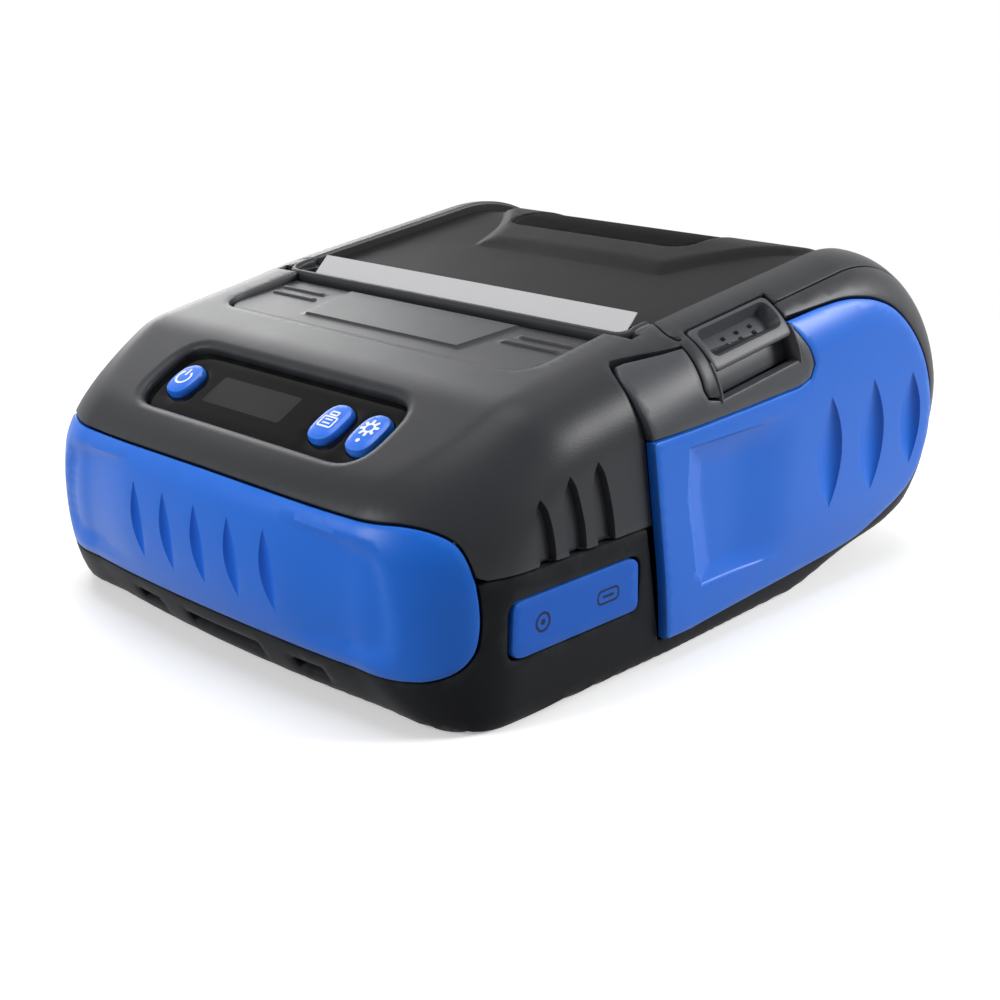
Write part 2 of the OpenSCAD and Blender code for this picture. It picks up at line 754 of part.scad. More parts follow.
module upper_housing() {
    color(shell_grey) difference() {
        union() {
            difference() {
                intersection() {
                    housing_outer();
                    box([-half_w, -big, seam_z], [half_w, big, body_h + 1]);
                }
                cavity();
                translate([0, 0, seam_z + 1]) linear_extrude(big) lid_outline(seam_gap);
                box([-lid_half_w - seam_gap, rear_wall_y - 1, seam_z - 1], [lid_half_w + seam_gap, big, hinge_z]);
            }
            intersection() {
                body_solid(wall / 2);
                union() {
                    window_frame();
                    on_cover() translate([0, 0, -cover_t - cover_ledge]) linear_extrude(cover_ledge + 1)
                        cover_outline(2);
                    for (side = [-1, 1]) translate([side * housing_posts[0][0], at(housing_posts[0][1]), seam_z])
                        cylinder(r = post_r, h = big);
                    lip_blocks();
                }
            }
            rear_tabs();
            intersection() {
                latch_mount();
                between(flank_x);
            }
        }
        // Paper slot and the ends of the lip
        box([-slot_end_x - seam_gap, at(slot_front), platen_z + 1], [slot_end_x + seam_gap, at(lid_front) + 1, body_h]);
        across(-lip_end_x - fit, lip_end_x + fit) lip_outline(fit);
        box([-slot_end_x, at(cover_d), platen_z + 1], [slot_end_x, at(slot_front) + eps, body_h]);
        on_window() {
            translate([0, 0, -window_t]) linear_extrude(10) window_outline(fit);
            translate([0, 0, -10]) linear_extrude(20) window_outline(-ledge_w);
        }
        on_cover() {
            translate([0, 0, -cover_t]) linear_extrude(10) cover_outline(fit);
            translate([0, 0, -10]) linear_extrude(20) cover_outline(-cover_ledge);
            box([-ear_x[0], -6, -10], [ear_x[0], 1, eps - cover_t]);
        }
        for (side = [-1, 1], i = [0, 1]) translate([side * housing_posts[i][0], at(housing_posts[i][1]), seam_z - 1])
            cylinder(r = screw_r, h = screw_grip[i] + 1);
        side_grooves();
        lever_room();
        panel_pegs(trim_pegs, trim_peg_r + run, peg_len + fit);
        panel_pegs([panel_pegs_at[2]], panel_peg_r + run, peg_len + fit);
        window_screws(board_screw_r, 4);
    }
}

// Rounded outline of the window, grown by m
module window_outline(m) {
    square([window_w + 2 * m - 2 * window_corner_r, window_h + 2 * m], center = true);
    square([window_w + 2 * m, window_h + 2 * m - 2 * window_corner_r], center = true);
    for (x = [-1, 1], y = [-1, 1])
        translate([x * (window_w / 2 + m - window_corner_r), y * (window_h / 2 + m - window_corner_r)])
            circle(r = window_corner_r);
}

// Screws under the button board, as bores or as shanks
module window_screws(r, len) {
    on_window() for (side = [-1, 1]) translate([side * window_boss_x, 0, -board_top - eps])
        cylinder(r = r, h = len);
}

// Ledge around the window and bosses of the button board, under the hood
module window_frame() {
    on_window() {
        translate([0, 0, -window_t - ledge_t]) linear_extrude(ledge_t + window_t)
            window_outline(1.5);
        for (side = [-1, 1]) translate([side * window_boss_x, 0, -board_top])
            cylinder(r = window_boss_r, h = board_top);
    }
}

// Blocks that hold the ends of the lip
module lip_blocks() {
    for (side = [-1, 1]) translate([side * (slot_end_x + 1.5), at(slot_front) - lip_t / 2, lip_low_z + 1])
        cube([3, lip_t + 2.4, 4], center = true);
}

// Tabs on the side bands that meet the rear posts
module rear_tabs() {
    for (side = [0, 1]) mirror([side, 0, 0]) intersection() {
        translate([0, at(housing_posts[1][1]), seam_z]) union() {
            translate([housing_posts[1][0], 0, 0]) cylinder(r = post_r, h = 5);
            box([housing_posts[1][0], -post_r, 0], [flank_x, post_r, 5]);
        }
        body_solid(wall / 2);
    }
}

// Bosses of the latch pin and the floor of the finger recess
module latch_mount() {
    floor_r = lever_r - lever_t - lever_gap;
    on_rail(latch_d) {
        difference() {
            union() {
                shoulder_sector(floor_r - 1.4, floor_r + 0.5, lever_end - 1, 90, -lever_gap - 1.5,
                    lever_len + lever_gap + 1.5);
                for (y = [-lever_gap - 1.5, lever_len + lever_gap - 0.5])
                    shoulder_sector(floor_r - 1.4, lever_r - 1, lever_end - 1, 90, y, y + 2);
                for (y = [-lever_gap - boss_t, lever_len + lever_gap]) {
                    shoulder_rod(hub_r, y, y + boss_t);
                    box([crest_x, y, -shoulder_r - hub_r], [inner_x + wall / 2, y + boss_t, -shoulder_r + hub_r]);
                }
            }
            shoulder_rod(latch_pin_r, -big, big);
        }
    }
}

module front_cover() {
    raised = 0.35;
    color(shell_grey) on_cover() {
        translate([0, 0, -cover_t]) linear_extrude(cover_t) cover_outline(0);
        translate([0, 0, -eps]) linear_extrude(raised) polygon([[-cover_w / 4, 4 - cover_len],
            [cover_w / 4, 4 - cover_len], [cover_w / 4 + 2, -1], [-cover_w / 4 - 2, -1]]);
    }
}

module tear_bar() {
    color(shell_grey) across(-lip_end_x, lip_end_x) lip_outline(0);
}

module front_bumper() {
    groove_pitch = 8.82;
    color(bright_blue) {
        difference() {
            intersection() {
                body_solid(0);
                bumper_zone(0);
            }
            body_solid(bumper_t);
            // Lens-shaped grooves in the middle
            for (i = [-2 : 2]) translate([i * groove_pitch, 0, bulge_z - 2.5]) along(at(-2), at(1.1)) intersection() {
                translate([12, 0]) circle(r = 14.3);
                translate([-12, 0]) circle(r = 14.3);
            }
        }
        bumper_pegs(bumper_peg_r, 7.5);
    }
}

// Blue outline of a side panel, in Y and Z
panel_foot_d = 54.7;
panel_top_d = 48.4;
panel_rear_r = 26;
latch_foot_d = 91;
module panel_outline() {
    intersection() {
        polygon([[at(panel_foot_d), panel_low_z], [at(panel_top_d), trim_low_z],
            [at(latch_foot_d), trim_low_z + 2.4], [at(latch_foot_d + 2), trim_low_z + 5.2],
            [at(latch_foot_d - 5), body_h], [at(big), body_h], [at(big), panel_low_z + 18], [at(110), panel_low_z + 3]]);
        union() {
            translate([rear_axis_y - 2, rear_axis_z + 2]) circle(r = panel_rear_r);
            translate([-big, 0]) square([big + rear_axis_y - 2, big]);
        }
    }
}
// Sunk field and lens-shaped grooves in a panel, in Y and Z
module panel_grooves() {
    field = [[57.6, 35], [57.6, 28.8], [60.7, 16.2], [62.8, 12.8], [66.2, 11.8], [86.8, 12.8], [68.2, 14.9],
        [64.6, 17.6], [63.1, 35]];
    polygon([for (p = field) [at(p[0]), p[1]]]);
    for (i = [0 : 2]) translate([at(100 + 14 * i), 28]) intersection() {
        translate([13, 0]) circle(r = 16.5);
        translate([-13, 0]) circle(r = 16.5);
    }
}
module panel_slab(x0) {
    intersection() {
        body_solid(0);
        box([x0, -big, 0], [half_w, big, body_h + 1]);
        across(flank_x, half_w) children();
    }
}
module side_panel() {
    groove_depth = 0.7;
    difference() {
        panel_slab(flank_x) panel_outline();
        across(half_w - groove_depth, half_w + 1) panel_grooves();
    }
    right_pegs(panel_pegs_at, panel_peg_r, peg_len);
}
module side_panel_right() {
    color(bright_blue) difference() {
        side_panel();
        lever_room();
    }
}
module side_panel_left() {
    color(bright_blue) mirror([1, 0, 0]) side_panel();
}

// Dark trim over the front part of a panel
module side_trim() {
    panel_slab(flank_x) difference() {
        polygon([[at(panel_top_d), trim_low_z + seam_gap], [at(panel_top_d - 2.4), body_h],
            [at(latch_foot_d - 5), body_h], [at(latch_foot_d + 2), trim_low_z + 5.2],
            [at(latch_foot_d), trim_low_z + 2.4 + seam_gap]]);
        panel_outline();
    }
    right_pegs(trim_pegs, trim_peg_r, peg_len);
}
module side_trim_right() {
    color(shell_grey) difference() {
        side_trim();
        lever_room();
    }
}
module side_trim_left() {
    color(shell_grey) mirror([1, 0, 0]) side_trim();
}

module display_window() {
    color(gloss_black) on_window() translate([0, 0, -window_t]) linear_extrude(window_t) difference() {
        window_outline(0);
        for (p = button_places) translate([p[0], p[1]]) button_outline(button_w, p[2], button_slack);
    }
}

module display_module() {
    color(lid_black) on_window() box([-17, -6, -board_top], [9, 6, -window_t - fit]);
}

module button_board() {
    x = window_boss_x + window_boss_r;
    color(board_green) on_window() difference() {
        box([-x, -7.2, -board_top - board_t], [x, 7.2, -board_top]);
        for (side = [-1, 1]) translate([side * window_boss_x, 0, -big / 2]) cylinder(r = board_screw_r + fit, h = big);
    }
}

module button_switches() {
    color(gloss_black) on_window() for (p = button_places) translate([p[0], p[1], -board_top]) {
        translate([-2, -2, 0]) cube([4, 4, switch_h]);
        cylinder(r = 1.3, h = switch_h + dome_h);
    }
}

// Button cap with its retaining tab and stem
module button(place) {
    color(bright_blue) on_window() translate([place[0], place[1], 0]) {
        translate([0, 0, -tab_top - eps]) linear_extrude(tab_top + button_rise + eps)
            button_outline(button_w, place[2], 0);
        translate([0, 0, -tab_top - tab_t]) linear_extrude(tab_t)
            square([tab_w, place[2] + 2 * tab_reach], center = true);
        translate([0, 0, -stem_low]) cylinder(r = stem_r, h = stem_len + eps);
    }
}
module power_button() { button(power_place); }
module feed_button() { button(feed_place); }
module settings_button() { button(settings_place); }

// Space that the lid takes up, above its lower edge at the rear
module lid_space() {
    intersection() {
        linear_extrude(big) lid_outline(0);
        box([-half_w, -big, lid_low_z], [half_w, big, body_h + 1]);
    }
}
// Shell between two insets of the body
module shell(outer, inner) {
    difference() {
        body_solid(outer);
        body_solid(inner);
    }
}
pad_rise = 1.3;
lid_window_t = 0.8;
module pad_outline(m) {
    y = rear_axis_y;
    polygon([[-24.5 - m, y - 23.6 - m], [24.5 + m, y - 23.6 - m], [29.5 + m, y - 11.4], [40 + m, y + 1],
        [40 + m, big], [-40 - m, big], [-40 - m, y + 1], [-29.5 - m, y - 11.4]]);
}
module lid_window_outline(m) {
    y = rear_axis_y;
    polygon([[-28 - m, y - 8.7 - m], [17.7 + m, y - 8.7 - m], [19.8 + m, y - 1.2], [19.8 + m, y + 24.3 + m],
        [-28 - m, y + 24.3 + m]]);
}
lid_boss_x = 30;
lid_boss_d = platen_d + 9.6;
beam_z = [47.5, 51];
module lid() {
    color(lid_black) difference() {
        union() {
            intersection() {
                lid_space();
                union() {
                    difference() {
                        shell(0, lid_sink);
                        between(lid_centre_x);
                    }
                    intersection() {
                        shell(lid_sink, lid_sink + wall);
                        between(lid_centre_x + lid_sink);
                    }
                    intersection() {
                        shell(lid_sink - pad_rise, lid_sink + 0.1);
                        linear_extrude(big) pad_outline(0);
                    }
                    for (side = [-1, 1]) translate([side * lid_boss_x, at(lid_boss_d), beam_z[1]])
                        cylinder(r = 2.6, h = 3);
                }
            }
            lid_catch();
            for (side = [0, 1]) mirror([side, 0, 0]) translate([0, hinge_y, hinge_z]) {
                rod(lid_knuckles[0], lid_knuckles[1], barrel_r);
                box([lid_knuckles[0], 0.15 - barrel_r, 0], [lid_knuckles[1], -fit, barrel_r + barrel_gap + 1]);
            }
        }
        translate([0, hinge_y, hinge_z]) rod(-half_w, half_w, hinge_pin_r + run);
        lever_room();
        on_rail(latch_d) shoulder_sector(hook_r - 0.2, lever_r - lever_t + 0.4, hook_end - 2, lever_start + 15,
            hook_start_y - lever_gap, hook_start_y + 12 + lever_gap);
        // Pocket of the lid window
        difference() {
            linear_extrude(big) lid_window_outline(fit);
            body_solid(lid_sink - pad_rise + lid_window_t + fit);
        }
        for (side = [-1, 1]) translate([side * lid_boss_x, at(lid_boss_d), beam_z[1] - 1])
            cylinder(r = screw_r, h = 3.2);
    }
}
// Rib under the right rail with the tooth that the lever holds
module lid_catch() {
    tooth_r = hook_r - catch_gap;
    on_rail(latch_d) {
        box([rib_x[0], hook_start_y + 1, -shoulder_r + tooth_r - catch_t], [rib_x[1], hook_start_y + 11, -lid_sink - 0.5]);
        shoulder_sector(tooth_r - catch_t, tooth_r, -6, catch_end, hook_start_y + 1, hook_start_y + 11);
    }
}

module lid_window() {
    color(gloss_black) intersection() {
        shell(lid_sink - pad_rise, lid_sink - pad_rise + lid_window_t);
        linear_extrude(big) lid_window_outline(0);
        box([-half_w, at(lid_front), platen_z], [half_w, big, body_h + 1]);
    }
}

// Carrier of the platen, under the front edge of the lid
module platen_carrier() {
    arm_low = platen_z;
    color(shell_grey) difference() {
        union() {
            for (side = [0, 1]) mirror([side, 0, 0]) {
                across(ear_x[0], ear_x[1]) {
                    translate(platen) circle(r = ear_r);
                    polygon([[at(platen_d - 4.2), arm_low], [at(platen_d - 4.2), arm_low + 5.5],
                        [at(slot_front + 0.7), arm_low + 5.5], [at(slot_front + 0.7), arm_low + 9],
                        [at(lid_front - 0.2), arm_low + 9], [at(lid_front - 0.2), beam_z[1] - 0.3],
                        [at(lid_boss_d + 3), beam_z[1]], [at(lid_boss_d + 3), beam_z[0]], [at(platen_d + 4.2), arm_low]]);
                }
                box([ear_x[1] - eps, at(slot_front + 0.7), arm_low + 6.4],
                    [slot_end_x, at(lid_front - 0.2), arm_low + 9]);
            }
            box([-ear_x[1], at(lid_boss_d - 3), beam_z[0]], [ear_x[1], at(lid_boss_d + 3), beam_z[1]]);
        }
        translate([0, platen[0], platen[1]]) rod(-half_w, half_w, bush_r);
        for (side = [-1, 1]) translate([side * lid_boss_x, at(lid_boss_d), 0]) cylinder(r = screw_r + fit, h = big);
    }
}
module platen_bearings() {
    color(steel) for (side = [0, 1]) mirror([side, 0, 0]) translate([0, platen[0], platen[1]]) difference() {
        rod(ear_x[0], ear_x[1], bush_r);
        rod(0, half_w, shaft_r + run);
    }
}
module lid_screws() {
    color(steel) for (side = [-1, 1]) translate([side * lid_boss_x, at(lid_boss_d), beam_z[0]]) {
        translate([0, 0, -1.3]) cylinder(r = 2.4, h = 1.3);
        translate([0, 0, -eps]) cylinder(r = screw_r, h = beam_z[1] - beam_z[0] + 2);
    }
}
module platen_roller() {
    color(rubber_black) translate([0, platen[0], platen[1]]) difference() {
        rod(-rubber_x, rubber_x, platen_r);
        rod(-half_w, half_w, shaft_r);
    }
}
module platen_shaft() {
    color(steel) translate([0, platen[0], platen[1]]) rod(-gear_x[1], ear_x[1] - fit, shaft_r);
}
module platen_gear() {
    color(gear_white) translate([0, platen[0], platen[1]]) across(-gear_x[1], -gear_x[0]) difference() {
        gear_outline(platen_teeth, platen_phase);
        circle(r = shaft_r);
    }
}

module latch_lever() {
    color(shell_grey) on_rail(latch_d) difference() {
        union() {
            shoulder_sector(lever_r - lever_t, lever_r, lever_start, lever_end, 0, lever_len);
            shoulder_sector(hook_r, lever_r - lever_t + 0.1, hook_end, lever_start + 15, hook_start_y, hook_start_y + 12);
            for (y = [0, lever_len - arm_t]) {
                shoulder_sector(0, lever_r - lever_t + 0.1, 30, 48, y, y + arm_t);
                shoulder_rod(hub_r, y, y + arm_t);
            }
        }
        shoulder_rod(latch_pin_r + run, -big, big);
        // Finger pocket
        shoulder_sector(lever_r - 2.4, lever_r + 1, 31, 52, 1.5, lever_len - 1.5);
    }
}
module latch_pin() {
    color(steel) on_rail(latch_d) shoulder_rod(latch_pin_r, -lever_gap - boss_t + 0.2, lever_len + lever_gap + boss_t - 0.2);
}
latch_spring_y = [lever_len - 9, lever_len - 4];
module latch_spring() {
    color(steel) on_rail(latch_d) difference() {
        shoulder_rod(2.5, latch_spring_y[0], latch_spring_y[1]);
        shoulder_rod(1.7, -big, big);
    }
}
module hinge_pin() {
    color(steel) translate([0, hinge_y, hinge_z]) rod(1 - lid_half_w, lid_half_w - 1, hinge_pin_r);
}

// Box in the frame of the platen, from y0 to y1 and z0 to z1
module head_box(half, y0, y1, z) {
    at_platen() box([-half, y0, z[0]], [half, y1, z[1]]);
}
module print_head() {
    color(paper_white) head_box(head_half_w, -head_y - ceramic_t, -head_y, ceramic_z);
}
module head_heatsink() {
    color(aluminium) at_platen() difference() {
        union() {
            box([-head_half_w, -head_y - ceramic_t - sink_t, sink_z[0]], [head_half_w, -head_y - ceramic_t, sink_z[1]]);
            for (side = [-1, 1]) translate([side * 30, pivot_place[0], pivot_place[1]]) {
                rod(-2, 2, lug_r);
                box([-2, -1.3, 0], [2, 1.3, sink_z[0] - pivot_place[1] + 1]);
            }
        }
        translate([0, pivot_place[0], pivot_place[1]]) rod(-half_w, half_w, pivot_r + run);
    }
}
module head_pivot_pin() {
    color(steel) at_platen() translate([0, pivot_place[0], pivot_place[1]]) rod(-ear_x[1], ear_x[1], pivot_r);
}
module head_springs() {
    y1 = -head_y - ceramic_t - sink_t;
    color(steel) at_platen() for (side = [-1, 1]) translate([side * spring_x, 0, spring_z]) along(back_y, y1 - spring_gap) difference() {
        circle(r = spring_r);
        circle(r = spring_r - 0.5);
    }
}
foot_d = [53, 61];
foot_screw_x = 38.2;
frame_top = platen_z + 2;
motor_plate_d = 30;
module frame_side(front_d) {
    across(ear_x[0], ear_x[1]) difference() {
        union() {
            translate([at(front_d), deck_z[1]]) square([68.4 - front_d, platen_z - 1 - deck_z[1]]);
            translate([at(46), deck_z[1]]) square([platen_d - 4.6 - 46, frame_top - deck_z[1]]);
        }
        translate(platen) circle(r = ear_r + ear_gap);
    }
}
module head_frame() {
    color(steel) difference() {
        union() {
            frame_side(45);
            mirror([1, 0, 0]) frame_side(motor_plate_d);
            head_box(ear_x[1], back_y - back_t, back_y, back_z);
            for (side = [0, 1]) mirror([side, 0, 0])
                box([35.8, at(foot_d[0]), deck_z[1]], [ear_x[0] + eps, at(foot_d[1]), deck_z[1] + 1.2]);
        }
        at_platen() translate([0, pivot_place[0], pivot_place[1]]) rod(-half_w, half_w, pivot_r);
        for (pin = [idler, reduction]) translate([0, pin[0], pin[1]]) rod(-half_w, -ear_x[0] + 1, gear_pin_r);
        translate([0, pinion[0], pinion[1]]) rod(-half_w, -ear_x[0] + 1, 2.2);
        at_foot_screws() cylinder(r = board_screw_r + fit, h = 3);
    }
}
module at_foot_screws() {
    for (side = [-1, 1]) translate([side * foot_screw_x, at((foot_d[0] + foot_d[1]) / 2), deck_z[1]]) children();
}

module motor() {
    color(steel) translate([0, pinion[0], pinion[1]]) {
        rod(-ear_x[0], motor_len - ear_x[0], motor_r);
        rod(-ear_x[1], -ear_x[0] + eps, 2);
        rod(-large_gear_x[1], -ear_x[1] + eps, motor_shaft_r);
    }
}
module motor_pinion() {
    color(gear_white) translate([0, pinion[0], pinion[1]]) across(-large_gear_x[1], -large_gear_x[0]) difference() {
        gear_outline(pinion_teeth, pinion_phase);
        circle(r = motor_shaft_r + run);
    }
}
module reduction_gear() {
    color(gear_white) translate([0, reduction[0], reduction[1]]) difference() {
        union() {
            across(-large_gear_x[1], -large_gear_x[0]) gear_outline(large_teeth, large_phase);
            across(-large_gear_x[0] - eps, -gear_x[0]) gear_outline(small_teeth, small_phase);
        }
        rod(-half_w, 0, gear_pin_r + run);
    }
}
module idler_gear() {
    color(gear_white) translate([0, idler[0], idler[1]]) across(-gear_x[1], -gear_x[0]) difference() {
        gear_outline(idler_teeth, idler_phase);
        circle(r = gear_pin_r + run);
    }
}
module reduction_pin() {
    color(steel) translate([0, reduction[0], reduction[1]]) rod(-large_gear_x[1] - 0.3, -ear_x[0], gear_pin_r);
}
module idler_pin() {
    color(steel) translate([0, idler[0], idler[1]]) rod(-gear_x[1] - fit, -ear_x[0], gear_pin_r);
}

// Racks of the roll guides and the pinion between them, below the bay
rack_d = 104;
rack_pitch = PI * gear_module;
rack_mid = pitch_r(rack_teeth);
function neck_y(rack_side) = at(rack_d) + rack_side * (rack_mid + tooth_root + rack_w / 2);
module media_bay() {
    color(shell_grey) difference() {
        union() {
            // Trough
            across(-bay_side_x[1], bay_side_x[1]) difference() {
                bay_disc(bay_r + bay_t);
                translate(roll) circle(r = bay_r);
            }
            for (side = [0, 1]) mirror([side, 0, 0]) across(bay_side_x[0], bay_side_x[1]) bay_disc(bay_r + 1);
            // Deck
            box([-24, at(deck_front_d), deck_z[0]], [48, at(84.4), deck_z[1]]);
            box([deck_left_x, at(50), deck_z[0]], [0, at(84.4), deck_z[1]]);
            box([0, at(main_board_d[1] - 29), deck_z[0]], [inner_x - 0.3, at(main_board_d[1]), deck_z[1]]);
            box([0.3 - inner_x, at(main_board_d[1] - 11), deck_z[0]], [0, at(main_board_d[1]), deck_z[1]]);
            at_foot_screws() translate([0, 0, deck_z[0] - deck_z[1] - 4]) cylinder(r = 2.2, h = 5);
            // Rear flange
            box([-42, at(roll_d + 22), flange_z[0]], [42, at(body_len - 5.5), flange_z[1]]);
            // Pinion axle and rails beside the racks
            translate([0, at(rack_d), rack_z]) cylinder(r = gear_pin_r, h = 4);
            for (side = [-1, 1]) translate([-36, at(rack_d) + side * (rack_mid + rack_w + 1.6) - 0.6, rack_z])
                cube([72, 1.2, side < 0 ? 6 : 3.5]);
        }
        for (side = [0, 1]) mirror([side, 0, 0]) translate([0, neck_y(2 * side - 1), 0])
            box([guide_x - 0.6, -neck_w / 2 - 0.4, 0], [bay_side_x[0] + fit, neck_w / 2 + 0.4, roll_z - guide_r + 0.5]);
        for (side = [-1, 1]) translate([side * 36, at(flange_post_d), 0]) cylinder(r = board_screw_r + fit, h = flange_z[1] + 1);
        at_foot_screws() translate([0, 0, -5]) cylinder(r = board_screw_r, h = 6);
    }
}
// Lower part of a disc about the roll
module bay_disc(r) {
    intersection() {
        translate(roll) circle(r = r);
        translate([-big, -big]) square([2 * big, big + bay_high_z]);
        polygon([[-big, bay_high_z], [roll[0], roll[1]], [roll[0] + big, roll[1] - big / 8], [big, -big], [-big, -big]]);
    }
}
module gap_sensor() {
    color(gloss_black) {
        box([-5, at(69), 36], [5, at(75), 40]);
        box([-3, at(71), deck_z[1]], [3, at(73), 36 + eps]);
    }
}

module label_roll() {
    color(paper_white) translate([0, roll[0], roll[1]]) difference() {
        rod(-label_w / 2, label_w / 2, roll_r);
        rod(-half_w, half_w, core_bore_r + core_wall);
    }
}
module roll_core() {
    color(card_brown) translate([0, roll[0], roll[1]]) difference() {
        rod(-label_w / 2, label_w / 2, core_bore_r + core_wall);
        rod(-half_w, half_w, core_bore_r);
    }
}
// Label from the roll, round the platen, through the nip and out of the slot
web_r = platen_r + web_gap;
web_span = roll - platen;
web_dir = atan2(web_span[1], web_span[0]) + asin((roll_r + web_r + label_t) / norm(web_span));
web_free = sqrt(pow(norm(web_span), 2) - pow(roll_r + web_r + label_t, 2));
nip_dir = 180 - nip_tilt;
exit_rise = 6.2;
exit_len = 4.6;
exit_dir = 45;
module strip(start, dir, len) { translate(start) rotate(dir) translate([-eps, 0]) square([len + 2 * eps, label_t]); }
module label_web() {
    reach = 3 * platen_r;
    nip = platen + polar(web_r + web_gap / 5, nip_dir);
    bend = nip + polar(exit_rise, 90 - nip_tilt);
    color(paper_white) across(-label_w / 2, label_w / 2) {
        strip(platen + polar(web_r + label_t - web_gap / 5, web_dir - 90), web_dir, web_free - 0.3);
        translate(platen) intersection() {
            difference() {
                circle(r = web_r + label_t);
                circle(r = web_r);
            }
            polygon([[0, 0], polar(reach, web_dir - 90), polar(reach, web_dir - 135), polar(reach, web_dir - 180),
                polar(reach, nip_dir - 330), polar(reach, nip_dir - 360)]);
        }
        strip(nip, 90 - nip_tilt, exit_rise);
        strip(bend, exit_dir, exit_len);
    }
}

// Guide at one end of the roll, with its rack in front of the pinion (-1) or behind it (1)
module guide(rack_side) {
    end = guide_x + guide_t;
    across(guide_x, end) difference() {
        union() {
            translate(roll) circle(r = guide_r);
            translate([neck_y(rack_side) - neck_w / 2, rack_z]) square([neck_w, roll_z - rack_z]);
        }
        translate(roll) circle(r = 4);
    }
    translate([0, roll[0], roll[1]]) difference() {
        rod(guide_x - hub_len, guide_x + eps, core_bore_r - guide_gap);
        rod(0, half_w, core_bore_r - 2);
    }
    translate([0, at(rack_d), rack_z]) mirror([0, rack_side > 0 ? 1 : 0, 0]) linear_extrude(rack_t) {
        translate([end - rack_len, -rack_mid - tooth_root - rack_w]) square([rack_len, rack_w]);
        for (i = [-6.5 : 6.5]) translate([i * rack_pitch, -rack_mid]) polygon([[-0.3 * rack_pitch, -tooth_root - eps],
            [0.3 * rack_pitch, -tooth_root - eps], [0.11 * rack_pitch, tooth_top], [-0.11 * rack_pitch, tooth_top]]);
    }
}
module roll_guide_right() { color(shell_grey) guide(-1); }
module roll_guide_left() { color(shell_grey) mirror([1, 0, 0]) guide(1); }
module guide_pinion() {
    color(gear_white) translate([0, at(rack_d), rack_z]) linear_extrude(rack_t) difference() {
        gear_outline(rack_teeth, 0);
        circle(r = gear_pin_r + run);
    }
}

module main_board() {
    color(board_green) difference() {
        box([-main_board_x, at(main_board_d[0]), main_board_z], [main_board_x, at(main_board_d[1]), main_board_z + pcb_t]);
        at_board_screws() cylinder(r = board_screw_r + fit, h = big);
    }
}
module at_board_screws() {
    for (side = [-1, 1], d = [main_board_d[0] + 4, main_board_d[1] - 4])
        translate([side * (main_board_x - 4), at(d), 0]) children();
}
module board_components() {
    top = main_board_z + pcb_t;
    color(gloss_black) {
        for (c = [[-20, 70, 7, 1], [2, 74, 5, 0.8], [22, 72, 6, 1.6]])
            translate([c[0] - c[2], at(c[1]) - c[2] * 0.7, top]) cube([2 * c[2], 1.4 * c[2], c[3]]);
        for (x = [-33, -28, 33]) translate([x, at(76), top]) cylinder(r = 2, h = 6);
        box([-36, at(64), top], [-27, at(69), top + 4]);
    }
}
module port_board() {
    color(board_green) difference() {
        box([port_board_x[0], at(port_board_d[0]), port_board_z], [port_board_x[1], at(port_board_d[1]), port_board_z + pcb_t]);
        at_port_screws() cylinder(r = board_screw_r + fit, h = big);
    }
}
port_screw_ds = [32.4, 49];
module at_port_screws() {
    for (d = port_screw_ds) translate([port_board_x[0] + 4, at(d), 0]) children();
}
socket_nose_x = flank_x - cover_depth - 0.1;
module power_jack() {
    bore_end = inner_x - 9;
    color(gloss_black) {
        translate([0, at(jack_d), port_z]) difference() {
            union() {
                box([inner_x - jack_len, -jack_w / 2, -jack_h / 2], [inner_x - fit, jack_w / 2, jack_h / 2]);
                rod(inner_x - 1, socket_nose_x, jack_bore_r + 0.35);
            }
            rod(bore_end, half_w, jack_bore_r);
        }
        translate([0, at(jack_d), port_z]) rod(bore_end - eps, socket_nose_x - 1.3, jack_pin_r);
    }
}
module data_port() {
    rim = 0.4;
    color(steel) translate([0, at(data_d), port_z]) {
        difference() {
            union() {
                box([inner_x - data_len, -data_w / 2, port_board_z + pcb_t - port_z], [inner_x - fit, data_w / 2, data_h / 2]);
                box([inner_x - 1, -data_w / 2, -data_h / 2], [socket_nose_x, data_w / 2, data_h / 2]);
            }
            box([inner_x - data_len + 1, rim * 2 - data_w / 2, rim - data_h / 2], [half_w, data_w / 2 - rim * 2, data_h / 2 - rim]);
        }
        box([inner_x - data_len + 1 - eps, rim * 3 - data_w / 2, -0.3], [inner_x - 1.5, data_w / 2 - rim * 3, 0.3]);
    }
}

module port_cover() {
    t = cover_plate_t / 2;
    plug_x = port_axis_x - t - 1;
    color(bright_blue) difference() {
        union() {
            port_axis() {
                rod_y(port_len / 2, t);
                rod_y(port_len / 2 + trunnion_len, trunnion_r);
                box([-t, -port_len / 2, 0], [t, port_len / 2, port_h - port_axis_rise]);
            }
            translate([0, at(jack_d), port_z]) rod(plug_x, port_axis_x, jack_bore_r - 0.9);
            translate([0, at(data_d), port_z]) box([plug_x, -3, -0.9], [port_axis_x, 3, 0.9]);
        }
        // Hollow of the jack plug, round the centre contact
        translate([0, at(jack_d), port_z]) rod(plug_x - 1, port_axis_x - t, jack_pin_r + 0.3);
    }
}

